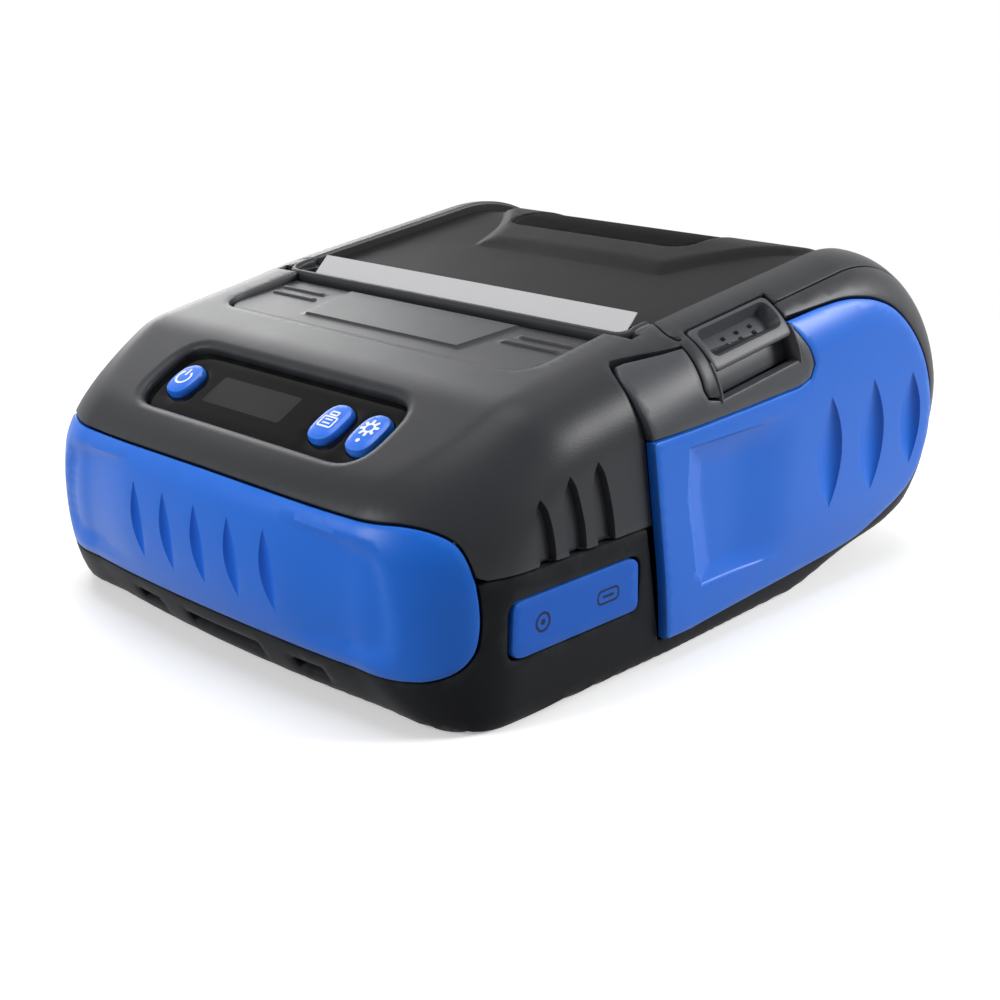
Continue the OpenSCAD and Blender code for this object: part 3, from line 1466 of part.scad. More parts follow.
module battery_pack() {
    color(lid_black) translate([-battery_w / 2, at(battery_d), battery_z]) cube([battery_w, battery_depth, battery_h]);
}
module battery_contacts() {
    top = main_board_z + pcb_t;
    rear = at(battery_d + battery_depth);
    color(steel) {
        box([-12, rear + 0.4, top], [12, rear + 5, top + 5]);
        for (x = [-8, 0, 8]) box([x - 1, rear, top + 1], [x + 1, rear + 0.4 + eps, top + 4]);
    }
}
module battery_door() {
    color(shell_grey) difference() {
        union() {
            door_outer(fit, door_t);
            door_inner(fit, wall);
        }
        at_door_screws() {
            cylinder(r = door_screw_r + fit, h = big);
            translate([0, 0, -1]) cylinder(r = door_head_r + fit, h = 1 + door_head_h);
        }
    }
}
module door_screws() {
    color(steel) at_door_screws() {
        cylinder(r = door_head_r, h = door_head_h);
        cylinder(r = door_screw_r, h = 5.5);
    }
}

module housing_screws() {
    color(steel) for (side = [-1, 1], i = [0, 1])
        translate([side * housing_posts[i][0], at(housing_posts[i][1]), counterbore_z[i]]) {
            translate([0, 0, -1.8]) cylinder(r = screw_head_r, h = 1.8);
            translate([0, 0, -eps]) cylinder(r = screw_r, h = seam_z + screw_grip[i] - counterbore_z[i] - 0.5);
        }
}
module inner_screws() {
    color(steel) {
        at_board_screws() down_screw(main_board_z + pcb_t);
        at_port_screws() down_screw(port_board_z + pcb_t);
        at_foot_screws() down_screw(1.2);
        for (side = [-1, 1]) translate([side * 36, at(flange_post_d), 0]) down_screw(flange_z[1]);
        on_window() for (side = [-1, 1]) translate([side * window_boss_x, 0, -board_top - board_t]) mirror([0, 0, 1])
            down_screw(0);
    }
}
// Small screw whose head rests at height z
module down_screw(z) {
    translate([0, 0, z]) cylinder(r = 1.8, h = 1);
    translate([0, 0, z - 4.5]) cylinder(r = board_screw_r, h = 4.5 + eps);
}

lower_housing();
upper_housing();
front_cover();
tear_bar();
front_bumper();
side_panel_right();
side_panel_left();
side_trim_right();
side_trim_left();
display_window();
display_module();
button_board();
button_switches();
power_button();
feed_button();
settings_button();
lid();
lid_window();
platen_carrier();
platen_bearings();
lid_screws();
platen_roller();
platen_shaft();
platen_gear();
latch_lever();
latch_pin();
latch_spring();
hinge_pin();
print_head();
head_heatsink();
head_pivot_pin();
head_springs();
head_frame();
motor();
motor_pinion();
reduction_gear();
reduction_pin();
idler_gear();
idler_pin();
media_bay();
gap_sensor();
label_roll();
roll_core();
label_web();
roll_guide_right();
roll_guide_left();
guide_pinion();
main_board();
board_components();
port_board();
power_jack();
data_port();
port_cover();
battery_pack();
battery_contacts();
battery_door();
door_screws();
housing_screws();
inner_screws();
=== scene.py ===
"""Looks of a portable label printer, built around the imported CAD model.

Shapes are worked out in millimetres as arrays of (x, d, z): x to the right of the middle,
d behind the foremost point of the case and z above the flat bottom.
"""

import json
import logging
import math
from dataclasses import dataclass, field, replace
from enum import Enum
from typing import Callable, Sequence

import bpy
import numpy as np
from mathutils import Matrix, Vector
from mathutils.geometry import delaunay_2d_cdt
from mathutils.kdtree import KDTree


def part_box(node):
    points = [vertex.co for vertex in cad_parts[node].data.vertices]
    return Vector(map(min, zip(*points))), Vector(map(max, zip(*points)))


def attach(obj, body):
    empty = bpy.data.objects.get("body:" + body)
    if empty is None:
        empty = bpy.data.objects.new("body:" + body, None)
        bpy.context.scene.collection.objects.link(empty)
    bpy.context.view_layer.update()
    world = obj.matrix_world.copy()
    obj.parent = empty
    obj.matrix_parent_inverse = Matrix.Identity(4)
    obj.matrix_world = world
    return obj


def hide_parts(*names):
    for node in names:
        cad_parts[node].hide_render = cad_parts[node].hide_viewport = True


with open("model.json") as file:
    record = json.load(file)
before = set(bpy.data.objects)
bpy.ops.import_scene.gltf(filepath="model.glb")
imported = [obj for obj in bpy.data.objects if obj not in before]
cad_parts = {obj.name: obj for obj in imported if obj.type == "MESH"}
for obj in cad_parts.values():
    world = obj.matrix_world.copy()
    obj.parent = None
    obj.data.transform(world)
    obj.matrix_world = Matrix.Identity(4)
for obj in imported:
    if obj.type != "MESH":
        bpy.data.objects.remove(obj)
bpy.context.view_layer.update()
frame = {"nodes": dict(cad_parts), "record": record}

LOG = logging.getLogger("label_printer")
HALF_LENGTH = 73.25
MM = 0.001
# Least share and least length that a division uses, and points measured at a time.
SMALL = 1e-6
TINY = 1e-9
BLOCK = 4000
# How a ray finds the form, the step that its slope is taken over, and the middle of most rays.
HALVINGS = 30
LONGEST_RAY = 200.0
FIELD_STEP = 0.05
MIDDLE_D = 65.0

Relief = Callable[[np.ndarray, np.ndarray], np.ndarray]


class Side(Enum):
    """Flank of the case, as the sign of x."""

    RIGHT = 1
    LEFT = -1


# ---------------------------------------------------------------- helpers of shape


def ease(t: np.ndarray) -> np.ndarray:
    """Smooth step from 0 to 1: 3 t squared minus 2 t cubed, with t held between 0 and 1."""
    t = np.clip(t, 0.0, 1.0)
    return t * t * (3.0 - 2.0 * t)


def soft_max(a: np.ndarray, b: np.ndarray, k: float) -> np.ndarray:
    """Larger of two fields, with a blend of width k: adds (k - |a - b|) squared over 4 k."""
    h = np.maximum(k - np.abs(a - b), 0.0)
    return np.maximum(a, b) + h * h / (4.0 * k)


def fillet(a: np.ndarray, b: np.ndarray, r: np.ndarray) -> np.ndarray:
    """Intersection of two fields with an edge of radius r.

    The larger field below -r, plus the length of (a + r, b + r) where these are positive.
    """
    corner = np.hypot(np.maximum(a + r, 0.0), np.maximum(b + r, 0.0))
    return np.minimum(np.maximum(a, b), -r) + corner


def unit(rows: np.ndarray) -> np.ndarray:
    """Rows scaled to length 1."""
    return rows / np.maximum(np.linalg.norm(rows, axis=1, keepdims=True), TINY)


def left_of(line: np.ndarray, closed: bool = True) -> np.ndarray:
    """Unit normals to the left of a polyline, from the chord of each point's neighbours.

    Args:
        line: Points in the plane.
        closed: Whether the last point joins the first.
    Returns:
        One normal a point.
    """
    leg = np.roll(line, -1, axis=0) - np.roll(line, 1, axis=0) if closed else np.gradient(line, axis=0)
    return unit(np.column_stack([-leg[:, 1], leg[:, 0]]))


def resample(line: np.ndarray, step: float, closed: bool = False) -> np.ndarray:
    """Cuts each leg of a polyline into equal pieces no longer than step, and keeps its corners.

    Args:
        line: Points, one a row.
        step: Longest piece.
        closed: Whether the last point joins the first.
    Returns:
        The denser points.
    """
    line = np.asarray(line, float)
    ends = np.roll(line, -1, axis=0) if closed else line[1:]
    starts = line if closed else line[:-1]
    counts = np.maximum(np.ceil(np.linalg.norm(ends - starts, axis=1) / step).astype(int), 1)
    leg = np.repeat(np.arange(len(starts)), counts)
    place = (np.arange(counts.sum()) - np.repeat(np.cumsum(counts) - counts, counts)) / counts[leg]
    points = starts[leg] + (ends[leg] - starts[leg]) * place[:, None]
    return points if closed else np.vstack([points, line[-1:]])


def curve(points: Sequence[Sequence[float]], steps: int = 8) -> np.ndarray:
    """Catmull-Rom curve through points, each leg a cubic with the chord of its neighbours as slope.

    Args:
        points: Points that it goes through.
        steps: Pieces of each leg.
    Returns:
        Points of the curve, with both ends.
    """
    p = np.asarray(points, float)
    q = np.vstack([2 * p[:1] - p[1:2], p, 2 * p[-1:] - p[-2:-1]])
    t = np.linspace(0.0, 1.0, steps, endpoint=False)[None, :, None]
    a, b, c, d = (q[i : len(q) - 3 + i, None, :] for i in range(4))
    legs = 2 * b + (c - a) * t + (2 * a - 5 * b + 4 * c - d) * t**2 + (3 * b - a - 3 * c + d) * t**3
    return np.vstack([0.5 * legs.reshape(-1, p.shape[1]), p[-1:]])


def rounded(points: Sequence[Sequence[float]], radii: Sequence[float], steps: int = 6) -> np.ndarray:
    """Closed polygon whose corners are quadratic curves that start radius before each corner.

    Args:
        points: Corners in the plane.
        radii: Length taken from the two legs at each corner; 0 keeps it sharp.
        steps: Pieces of each curve.
    Returns:
        Points of the outline.
    """
    p = np.asarray(points, float)
    r = np.broadcast_to(np.asarray(radii, float), (len(p),))[:, None]
    back, ahead = np.roll(p, 1, axis=0) - p, np.roll(p, -1, axis=0) - p
    lengths = [np.linalg.norm(leg, axis=1, keepdims=True) for leg in (back, ahead)]
    a = p + back / lengths[0] * np.minimum(r, lengths[0] * 0.49)
    b = p + ahead / lengths[1] * np.minimum(r, lengths[1] * 0.49)
    t = np.linspace(0.0, 1.0, steps + 1)[None, :, None]
    arcs = a[:, None] * (1 - t) ** 2 + p[:, None] * 2 * t * (1 - t) + b[:, None] * t**2
    flat = arcs.reshape(-1, 2)
    keep = np.linalg.norm(flat - np.roll(flat, 1, axis=0), axis=1) > 1e-5
    return flat[keep]


def ring(centre: Sequence[float], a: float, b: float, count: int = 40, turn: float = 0.0) -> np.ndarray:
    """Ellipse: centre plus (a cos t, b sin t), turned by a number of degrees.

    Args:
        centre: Middle of the ellipse.
        a: Half axis along x.
        b: Half axis along y.
        count: Number of points.
        turn: Turn in degrees.
    Returns:
        Points of the loop.
    """
    t = np.linspace(0.0, 2 * np.pi, count, endpoint=False)
    c, s = math.cos(math.radians(turn)), math.sin(math.radians(turn))
    x, y = a * np.cos(t), b * np.sin(t)
    return np.stack([centre[0] + x * c - y * s, centre[1] + x * s + y * c], axis=1)


def pointed(centre: Sequence[float], a: float, b: float, turn: float = 0.0, share: float = 1.0) -> np.ndarray:
    """Lens outline with pointed ends: half width a (1 - v squared) at height v of b, turned by degrees.

    Args:
        centre: Middle of the lens.
        a: Half width.
        b: Half height.
        turn: Lean in degrees.
        share: Share of the full width.
    Returns:
        Points of the loop.
    """
    v = np.sin(np.linspace(-np.pi / 2, np.pi / 2, 22))
    right = np.column_stack([a * share * (1 - v**2), v * b])
    loop = np.vstack([right, (right[1:-1] * [-1.0, 1.0])[::-1]])
    c, s = math.cos(math.radians(turn)), math.sin(math.radians(turn))
    return loop @ np.array([[c, s], [-s, c]]) + np.asarray(centre, float)


def lens_depth(u: np.ndarray, v: np.ndarray) -> np.ndarray:
    """Depth of a pointed lens: w - (|u| cubed over w squared), where w is 1 - v squared."""
    w = np.clip(1.0 - v * v, SMALL, 1.0)
    return w * np.clip(1.0 - np.abs(u / w) ** 3, 0.0, 1.0)


def segment_distance(points: np.ndarray, loop: np.ndarray, closed: bool = True) -> np.ndarray:
    """Distance of each point to the nearest leg of a polyline, by projection onto every leg.

    Args:
        points: Points, one a row.
        loop: Corners of the polyline.
        closed: Whether the last point joins the first.
    Returns:
        One distance a point.
    """
    ends = np.roll(loop, -1, axis=0) if closed else loop[1:]
    starts = loop if closed else loop[:-1]
    leg = ends - starts
    size = np.maximum((leg**2).sum(axis=1), 1e-12)
    best = np.full(len(points), np.inf)
    for block in range(0, len(points), BLOCK):
        p = points[block : block + BLOCK, None, :] - starts[None]
        t = np.clip((p * leg).sum(axis=2) / size, 0.0, 1.0)
        gap = p - leg * t[..., None]
        best[block : block + BLOCK] = np.sqrt((gap**2).sum(axis=2).min(axis=1))
    return best


def inside(points: np.ndarray, loop: np.ndarray) -> np.ndarray:
    """Whether each point lies in a closed loop, by counting the legs that cross to its right.

    Args:
        points: Points, one a row.
        loop: Closed loop, one point a row.
    Returns:
        One truth value a point.
    """
    a, b = loop, np.roll(loop, -1, axis=0)
    hit = np.zeros(len(points), bool)
    for block in range(0, len(points), BLOCK):
        p = points[block : block + BLOCK, None, :]
        spans = (a[None, :, 1] > p[..., 1]) != (b[None, :, 1] > p[..., 1])
        rise = np.where(np.abs(b[:, 1] - a[:, 1]) < 1e-12, 1e-12, b[:, 1] - a[:, 1])
        cross = a[None, :, 0] + (p[..., 1] - a[None, :, 1]) * ((b - a)[:, 0] / rise)[None]
        hit[block : block + BLOCK] = (spans & (p[..., 0] < cross)).sum(axis=1) % 2 == 1
    return hit


def depth_inside(points: np.ndarray, loop: np.ndarray) -> np.ndarray:
    """Distance to a closed loop, positive inside it and negative outside."""
    gap = segment_distance(points, loop)
    return np.where(inside(points, loop), gap, -gap)


def mesh_piece(name: str, points: np.ndarray, faces: Sequence[Sequence[int]], edge: np.ndarray | None = None,
               sharp: float = 38.0) -> bpy.types.Object:
    """Object from points in (x, d, z) millimetres.

    Args:
        name: Name of the piece.
        points: Vertices.
        faces: Corner indices of each face.
        edge: Nearness of each vertex to an edge of the piece, from 0 to 1, kept for wear.
        sharp: Angle in degrees over which a fold stays a crisp edge.
    Returns:
        The object, with its place in its mesh.
    """
    mesh = bpy.data.meshes.new(name)
    row = np.stack([points[:, 0], points[:, 1] - HALF_LENGTH, points[:, 2]], axis=1) * MM
    mesh.from_pydata(row.tolist(), [], [list(map(int, f)) for f in faces])
    mesh.validate(clean_customdata=False)
    mesh.shade_smooth()
    mesh.set_sharp_from_angle(angle=math.radians(sharp))
    worn = mesh.attributes.new("edge", "FLOAT", "POINT")
    worn.data.foreach_set("value", np.zeros(len(points)) if edge is None else edge)
    obj = bpy.data.objects.new(name, mesh)
    bpy.context.scene.collection.objects.link(obj)
    return obj


# ---------------------------------------------------------------- outer form of the case


@dataclass(frozen=True)
class CaseForm:
    """Outer form of the case as a field in millimetres, negative inside."""

    rail_slope: float = 8.0
    brow_slope: float = 10.5
    hood_slope: float = 29.2
    brow_point: tuple[float, float] = (63.4, 55.55)
    hood_foot: tuple[float, float] = (2.5, 35.3)
    rear_axis: tuple[float, float] = (111.7, 27.2)
    rear_r: float = 34.8
    flank: float = 55.3
    panel: float = 57.0
    bulge_z: float = 20.5
    upper_bulge_r: float = 45.0
    lower_bulge_r: float = 30.0
    bow_r: float = 380.0
    corner_r: float = 20.0
    tail_start: float = 98.0
    tail_lift: float = 10.0
    brow_blend: float = 0.4
    hood_blend: float = 0.9
    widens: tuple[tuple[float, float], tuple[float, float]] = ((50.0, 10.0), (22.0, 14.0))
    taper: tuple[float, float, float, float] = (300.0, 60.0, 0.03, 1.6)
    corner_loss: tuple[float, float] = (10.0, 20.0)
    front_edge_r: float = 4.0
    shoulder_r: float = 17.0
    shoulder_loss: tuple[tuple[float, float, float], ...] = ((3.4, 10.0, 25.0), (0.6, 45.0, 20.0))
    bottom_r: tuple[float, float, float] = (1.5, 2.5, 20.0)
    proud: bool = False

    def line(self, p: np.ndarray, point: tuple[float, float], slope: float) -> np.ndarray:
        """Height over a plane that rises to the rear through a point (d, z)."""
        a = math.radians(slope)
        return (p[:, 2] - point[1]) * math.cos(a) - (p[:, 1] - point[0]) * math.sin(a)

    def top(self, p: np.ndarray) -> np.ndarray:
        """Hood, brow and rails as planes, and the rounded rear as distance from its axis.

        Args:
            p: Points as rows of (x, d, z).
        Returns:
            Field of the top, negative below it.
        """
        a = math.radians(self.rail_slope)
        d, z = p[:, 1] - self.rear_axis[0], p[:, 2] - self.rear_axis[1]
        rail = self.line(p, self.brow_point, self.rail_slope)
        back = np.where(d * math.cos(a) + z * math.sin(a) < 0.0, rail, np.hypot(d, z) - self.rear_r)
        brow = soft_max(self.line(p, self.brow_point, self.brow_slope), back, self.brow_blend)
        return soft_max(self.line(p, self.hood_foot, self.hood_slope), brow, self.hood_blend)

    def half_width(self, p: np.ndarray) -> np.ndarray:
        """Half width of the case, which grows behind the hood and over the panels.

        Args:
            p: Points as rows of (x, d, z).
        Returns:
            One half width a point.
        """
        if self.proud:
            return np.full(len(p), self.panel)
        (d, run), (z, rise) = self.widens
        share = ease((p[:, 1] - d) / run) * ease((p[:, 2] - z) / rise)
        return self.flank + (self.panel - self.flank) * share

    def bulge(self, z: np.ndarray) -> tuple[np.ndarray, np.ndarray]:
        """How far the front lies back at a height: one arc above the widest line, one below.

        Args:
            z: Heights over the flat bottom.
        Returns:
            The inset, and how far each height lies under the widest line.
        """
        up = np.clip(z - self.bulge_z, 0.0, self.upper_bulge_r - 1.0)
        down = np.clip(self.bulge_z - z, 0.0, self.lower_bulge_r - 1.0)
        above = self.upper_bulge_r - np.sqrt(self.upper_bulge_r**2 - up**2)
        return above + self.lower_bulge_r - np.sqrt(self.lower_bulge_r**2 - down**2), down

    def wall(self, p: np.ndarray) -> tuple[np.ndarray, np.ndarray]:
        """Front and flanks with rounded corners, and the share that the flank has in them.

        Args:
            p: Points as rows of (x, d, z).
        Returns:
            Field of the walls, and the flank's share from 0 to 1.
        """
        x, d = np.abs(p[:, 0]), p[:, 1]
        inset, down = self.bulge(p[:, 2])
        size, start, growth, most = self.taper
        taper = down**2 / size * (1.0 + np.clip((d - start) * growth, 0.0, most))
        loss, reach = self.corner_loss
        r = self.corner_r - loss * np.clip((down / reach) ** 2, 0.0, 1.0)
        bow = self.bow_r - np.sqrt(self.bow_r**2 - np.minimum(x, self.flank - self.corner_r) ** 2)
        side, front = x - self.half_width(p) + taper, inset + bow - d
        u, v = np.maximum(side + r, 0.0), np.maximum(front + r, 0.0)
        return fillet(side, front, r), ease(u / (u + v + SMALL))

    def value(self, p: np.ndarray) -> np.ndarray:
        """The whole field: top and walls joined by the shoulder's radius, cut by bottom and tail.

        Args:
            p: Points as rows of (x, d, z).
        Returns:
            One value a point, negative inside.
        """
        wall, share = self.wall(p)
        d = p[:, 1]
        side_r = self.shoulder_r
        for loss, start, run in self.shoulder_loss:
            side_r = side_r - loss * ease((d - start) / run)
        side_r = side_r - (self.panel - self.half_width(p))
        body = fillet(self.top(p), wall, self.front_edge_r + (side_r - self.front_edge_r) * share)
        a = math.radians(self.tail_lift)
        tail = (d - self.tail_start) * math.sin(a) - p[:, 2] * math.cos(a)
        floor = np.where(d > self.tail_start, np.maximum(tail, -p[:, 2]), -p[:, 2])
        low, more, run = self.bottom_r
        return fillet(body, floor, low + more * ease((d - self.tail_start) / run))

    def land(self, origin: np.ndarray, direction: np.ndarray) -> np.ndarray:
        """Where rays from inside leave the field, by halving each ray again and again.

        Args:
            origin: Starts of the rays, inside the case.
            direction: Unit directions of the rays.
        Returns:
            Points on the surface.
        """
        low, high = np.zeros(len(origin)), np.full(len(origin), LONGEST_RAY)
        for _ in range(HALVINGS):
            middle = 0.5 * (low + high)
            within = self.value(origin + direction * middle[:, None]) < 0.0
            low, high = np.where(within, middle, low), np.where(within, high, middle)
        return origin + direction * (0.5 * (low + high))[:, None]

    def normal(self, p: np.ndarray) -> np.ndarray:
        """Unit slope of the field, from central differences.

        Args:
            p: Points as rows of (x, d, z).
        Returns:
            One unit vector a point.
        """
        steps = np.eye(3) * FIELD_STEP
        return unit(np.stack([self.value(p + s) - self.value(p - s) for s in steps], axis=1))


CASE = CaseForm()
PROUD = CaseForm(proud=True)


# ---------------------------------------------------------------- charts


@dataclass(frozen=True)
class Chart:
    """Flat map of a part of a surface, in millimetres."""

    form: CaseForm = CASE

    def rays(self, uv: np.ndarray) -> tuple[np.ndarray, np.ndarray]:
        """Start inside the case and direction outwards for each point of the map."""
        raise NotImplementedError

    def place(self, uv: np.ndarray) -> tuple[np.ndarray, np.ndarray, np.ndarray]:
        """Surface points, their outward normals and the outward rays.

        Args:
            uv: Places on the map, one a row.
        Returns:
            Points, outward normals and rays, each one a row.
        """
        origin, direction = self.rays(uv)
        points = self.form.land(origin, direction)
        return points, self.form.normal(points), direction


@dataclass(frozen=True)
class FlankChart(Chart):
    """Map (d, z) of one flank, with rays straight out to the side."""

    side: Side = Side.RIGHT
    start_x: float = 20.0

    def rays(self, uv: np.ndarray) -> tuple[np.ndarray, np.ndarray]:
        """Rays from a little beside the middle, on that side.

        Args:
            uv: Places on the map, one a row.
        Returns:
            Starts and unit directions.
        """
        sign = self.side.value
        origin = np.column_stack([np.full(len(uv), self.start_x * sign), uv])
        return origin, np.tile([float(sign), 0.0, 0.0], (len(uv), 1))


@dataclass(frozen=True)
class TopChart(Chart):
    """Map (x, d) seen from above, with rays straight up."""

    start_z: float = 15.0

    def rays(self, uv: np.ndarray) -> tuple[np.ndarray, np.ndarray]:
        """Rays upwards from a level inside."""
        origin = np.column_stack([uv, np.full(len(uv), self.start_z)])
        return origin, np.tile([0.0, 0.0, 1.0], (len(uv), 1))


@dataclass(frozen=True)
class DomeChart(Chart):
    """Map of the directions about a point: angle from the pole as radius, bearing as bearing."""

    centre: tuple[float, float, float] = (0.0, MIDDLE_D, 22.0)
    pole: float = 1.0
    scale: float = 60.0

    def rays(self, uv: np.ndarray) -> tuple[np.ndarray, np.ndarray]:
        """Rays from the centre.

        Args:
            uv: Places on the map, one a row.
        Returns:
            Starts and unit directions.
        """
        angle = np.linalg.norm(uv, axis=1) / self.scale
        direction = np.column_stack([unit(uv) * np.sin(angle)[:, None], self.pole * np.cos(angle)])
        return np.tile(self.centre, (len(uv), 1)), direction

    def flatten(self, p: np.ndarray) -> np.ndarray:
        """Map place of points in space.

        Args:
            p: Points in space.
        Returns:
            Their places on the map.
        """
        ray = p - np.asarray(self.centre)
        angle = np.arctan2(np.hypot(ray[:, 0], ray[:, 1]), self.pole * ray[:, 2])
        return unit(ray[:, :2]) * (angle * self.scale)[:, None]


@dataclass(frozen=True)
class BowChart(Chart):
    """Map (arc, z) round an upright axis, with level rays; the arc is the bearing times a radius."""

    axis_d: float = 60.0
    scale: float = 60.0

    def rays(self, uv: np.ndarray) -> tuple[np.ndarray, np.ndarray]:
        """Level rays from the axis, where bearing 0 points to the front.

        Args:
            uv: Places on the map, one a row.
        Returns:
            Starts and unit directions.
        """
        a = uv[:, 0] / self.scale
        origin = np.column_stack([np.zeros(len(uv)), np.full(len(uv), self.axis_d), uv[:, 1]])
        return origin, np.column_stack([np.sin(a), -np.cos(a), np.zeros(len(uv))])

    def flatten(self, p: np.ndarray) -> np.ndarray:
        """Map place of points in space."""
        return np.column_stack([np.arctan2(p[:, 0], self.axis_d - p[:, 1]) * self.scale, p[:, 2]])


@dataclass(frozen=True)
class WrapChart(Chart):
    """Map (x, s) that runs back along the rails and down round the rear.

    s is 0 where the rails meet the rounded rear, negative before it, and an arc length behind it.
    """

    def rays(self, uv: np.ndarray) -> tuple[np.ndarray, np.ndarray]:
        """Rays square to the rails, then outwards from the rear axis.

        Args:
            uv: Places on the map, one a row.
        Returns:
            Starts and unit directions.
        """
        a = math.radians(self.form.rail_slope)
        x, s = uv[:, 0], uv[:, 1]
        turn = np.maximum(s, 0.0) / self.form.rear_r - a
        run = np.minimum(s, 0.0)
        origin = np.column_stack([x, self.form.rear_axis[0] + run * math.cos(a),
                                  self.form.rear_axis[1] + run * math.sin(a)])
        return origin, np.column_stack([np.zeros(len(uv)), np.sin(turn), np.cos(turn)])

    def along(self, d: float) -> float:
        """s of a point on the crest at distance d from the front.

        Args:
            d: Distance from the front.
        Returns:
            s on the map.
        """
        a = math.radians(self.form.rail_slope)
        meet = self.form.rear_axis[0] - self.form.rear_r * math.sin(a)
        if d <= meet:
            return (d - meet) / math.cos(a)
        return self.form.rear_r * (math.asin((d - self.form.rear_axis[0]) / self.form.rear_r) + a)


@dataclass(frozen=True)
class PlaneChart(Chart):
    """Map (x, y) of a plane through a point that rises to the rear."""

    point: tuple[float, float] = (16.8, 42.15)
    slope: float = 29.2

    def place(self, uv: np.ndarray) -> tuple[np.ndarray, np.ndarray, np.ndarray]:
        """Point plus y along the slope; the normal is square to it.

        Args:
            uv: Places on the map, one a row.
        Returns:
            Points, outward normals and rays, each one a row.
        """
        a = math.radians(self.slope)
        points = np.column_stack([uv[:, 0], self.point[0] + uv[:, 1] * math.cos(a),
                                  self.point[1] + uv[:, 1] * math.sin(a)])
        normal = np.tile([0.0, -math.sin(a), math.cos(a)], (len(uv), 1))
        return points, normal, normal


@dataclass(frozen=True)
class SheetChart(Chart):
    """Map (d, z) of an upright plane at constant x."""

    x: float = 55.2
    side: Side = Side.RIGHT

    def place(self, uv: np.ndarray) -> tuple[np.ndarray, np.ndarray, np.ndarray]:
        """Points of the plane; the normal points away from the middle."""
        normal = np.tile([float(self.side.value), 0.0, 0.0], (len(uv), 1))
        return np.column_stack([np.full(len(uv), self.x), uv]), normal, normal


@dataclass(frozen=True)
class ShoulderChart(Chart):
    """Map (y, arc) of a cylinder about the shoulder's axis, y along the rails behind the lever's front."""

    front: float = 64.6
    axis: tuple[float, float] = (44.0, -13.0)
    radius: float = 13.0

    def place(self, uv: np.ndarray) -> tuple[np.ndarray, np.ndarray, np.ndarray]:
        """Angle off upright is arc over radius; the cylinder lies along the rails.

        Args:
            uv: Places on the map, one a row.
        Returns:
            Points, outward normals and rays, each one a row.
        """
        a = math.radians(self.form.rail_slope)
        phi = uv[:, 1] / self.radius
        across, high = np.sin(phi), np.cos(phi)
        rail = self.form.brow_point[1] + (self.front - self.form.brow_point[0]) * math.tan(a)
        lift = self.axis[1] + self.radius * high
        points = np.column_stack([self.axis[0] + self.radius * across,
                                  self.front + uv[:, 0] * math.cos(a) - lift * math.sin(a),
                                  rail + uv[:, 0] * math.sin(a) + lift * math.cos(a)])
        normal = np.column_stack([across, -high * math.sin(a), high * math.cos(a)])
        return points, normal, normal


# ---------------------------------------------------------------- plates on a chart


# Spacing of a plate's points as shares of its pitch, how near rows come to its rim, and reach of wear.
BORDER_STEP = 0.75
ROW_STEP = 0.55
TRIANGLE_STEP = 0.866
RIM_ROWS = (0.3, 1.0, -0.3, -1.0)
RIM_ROOM = 0.6
FINE_ROOM = (0.27, 0.3)
GRID_ROOM = 0.5
WEAR_REACH = 0.6


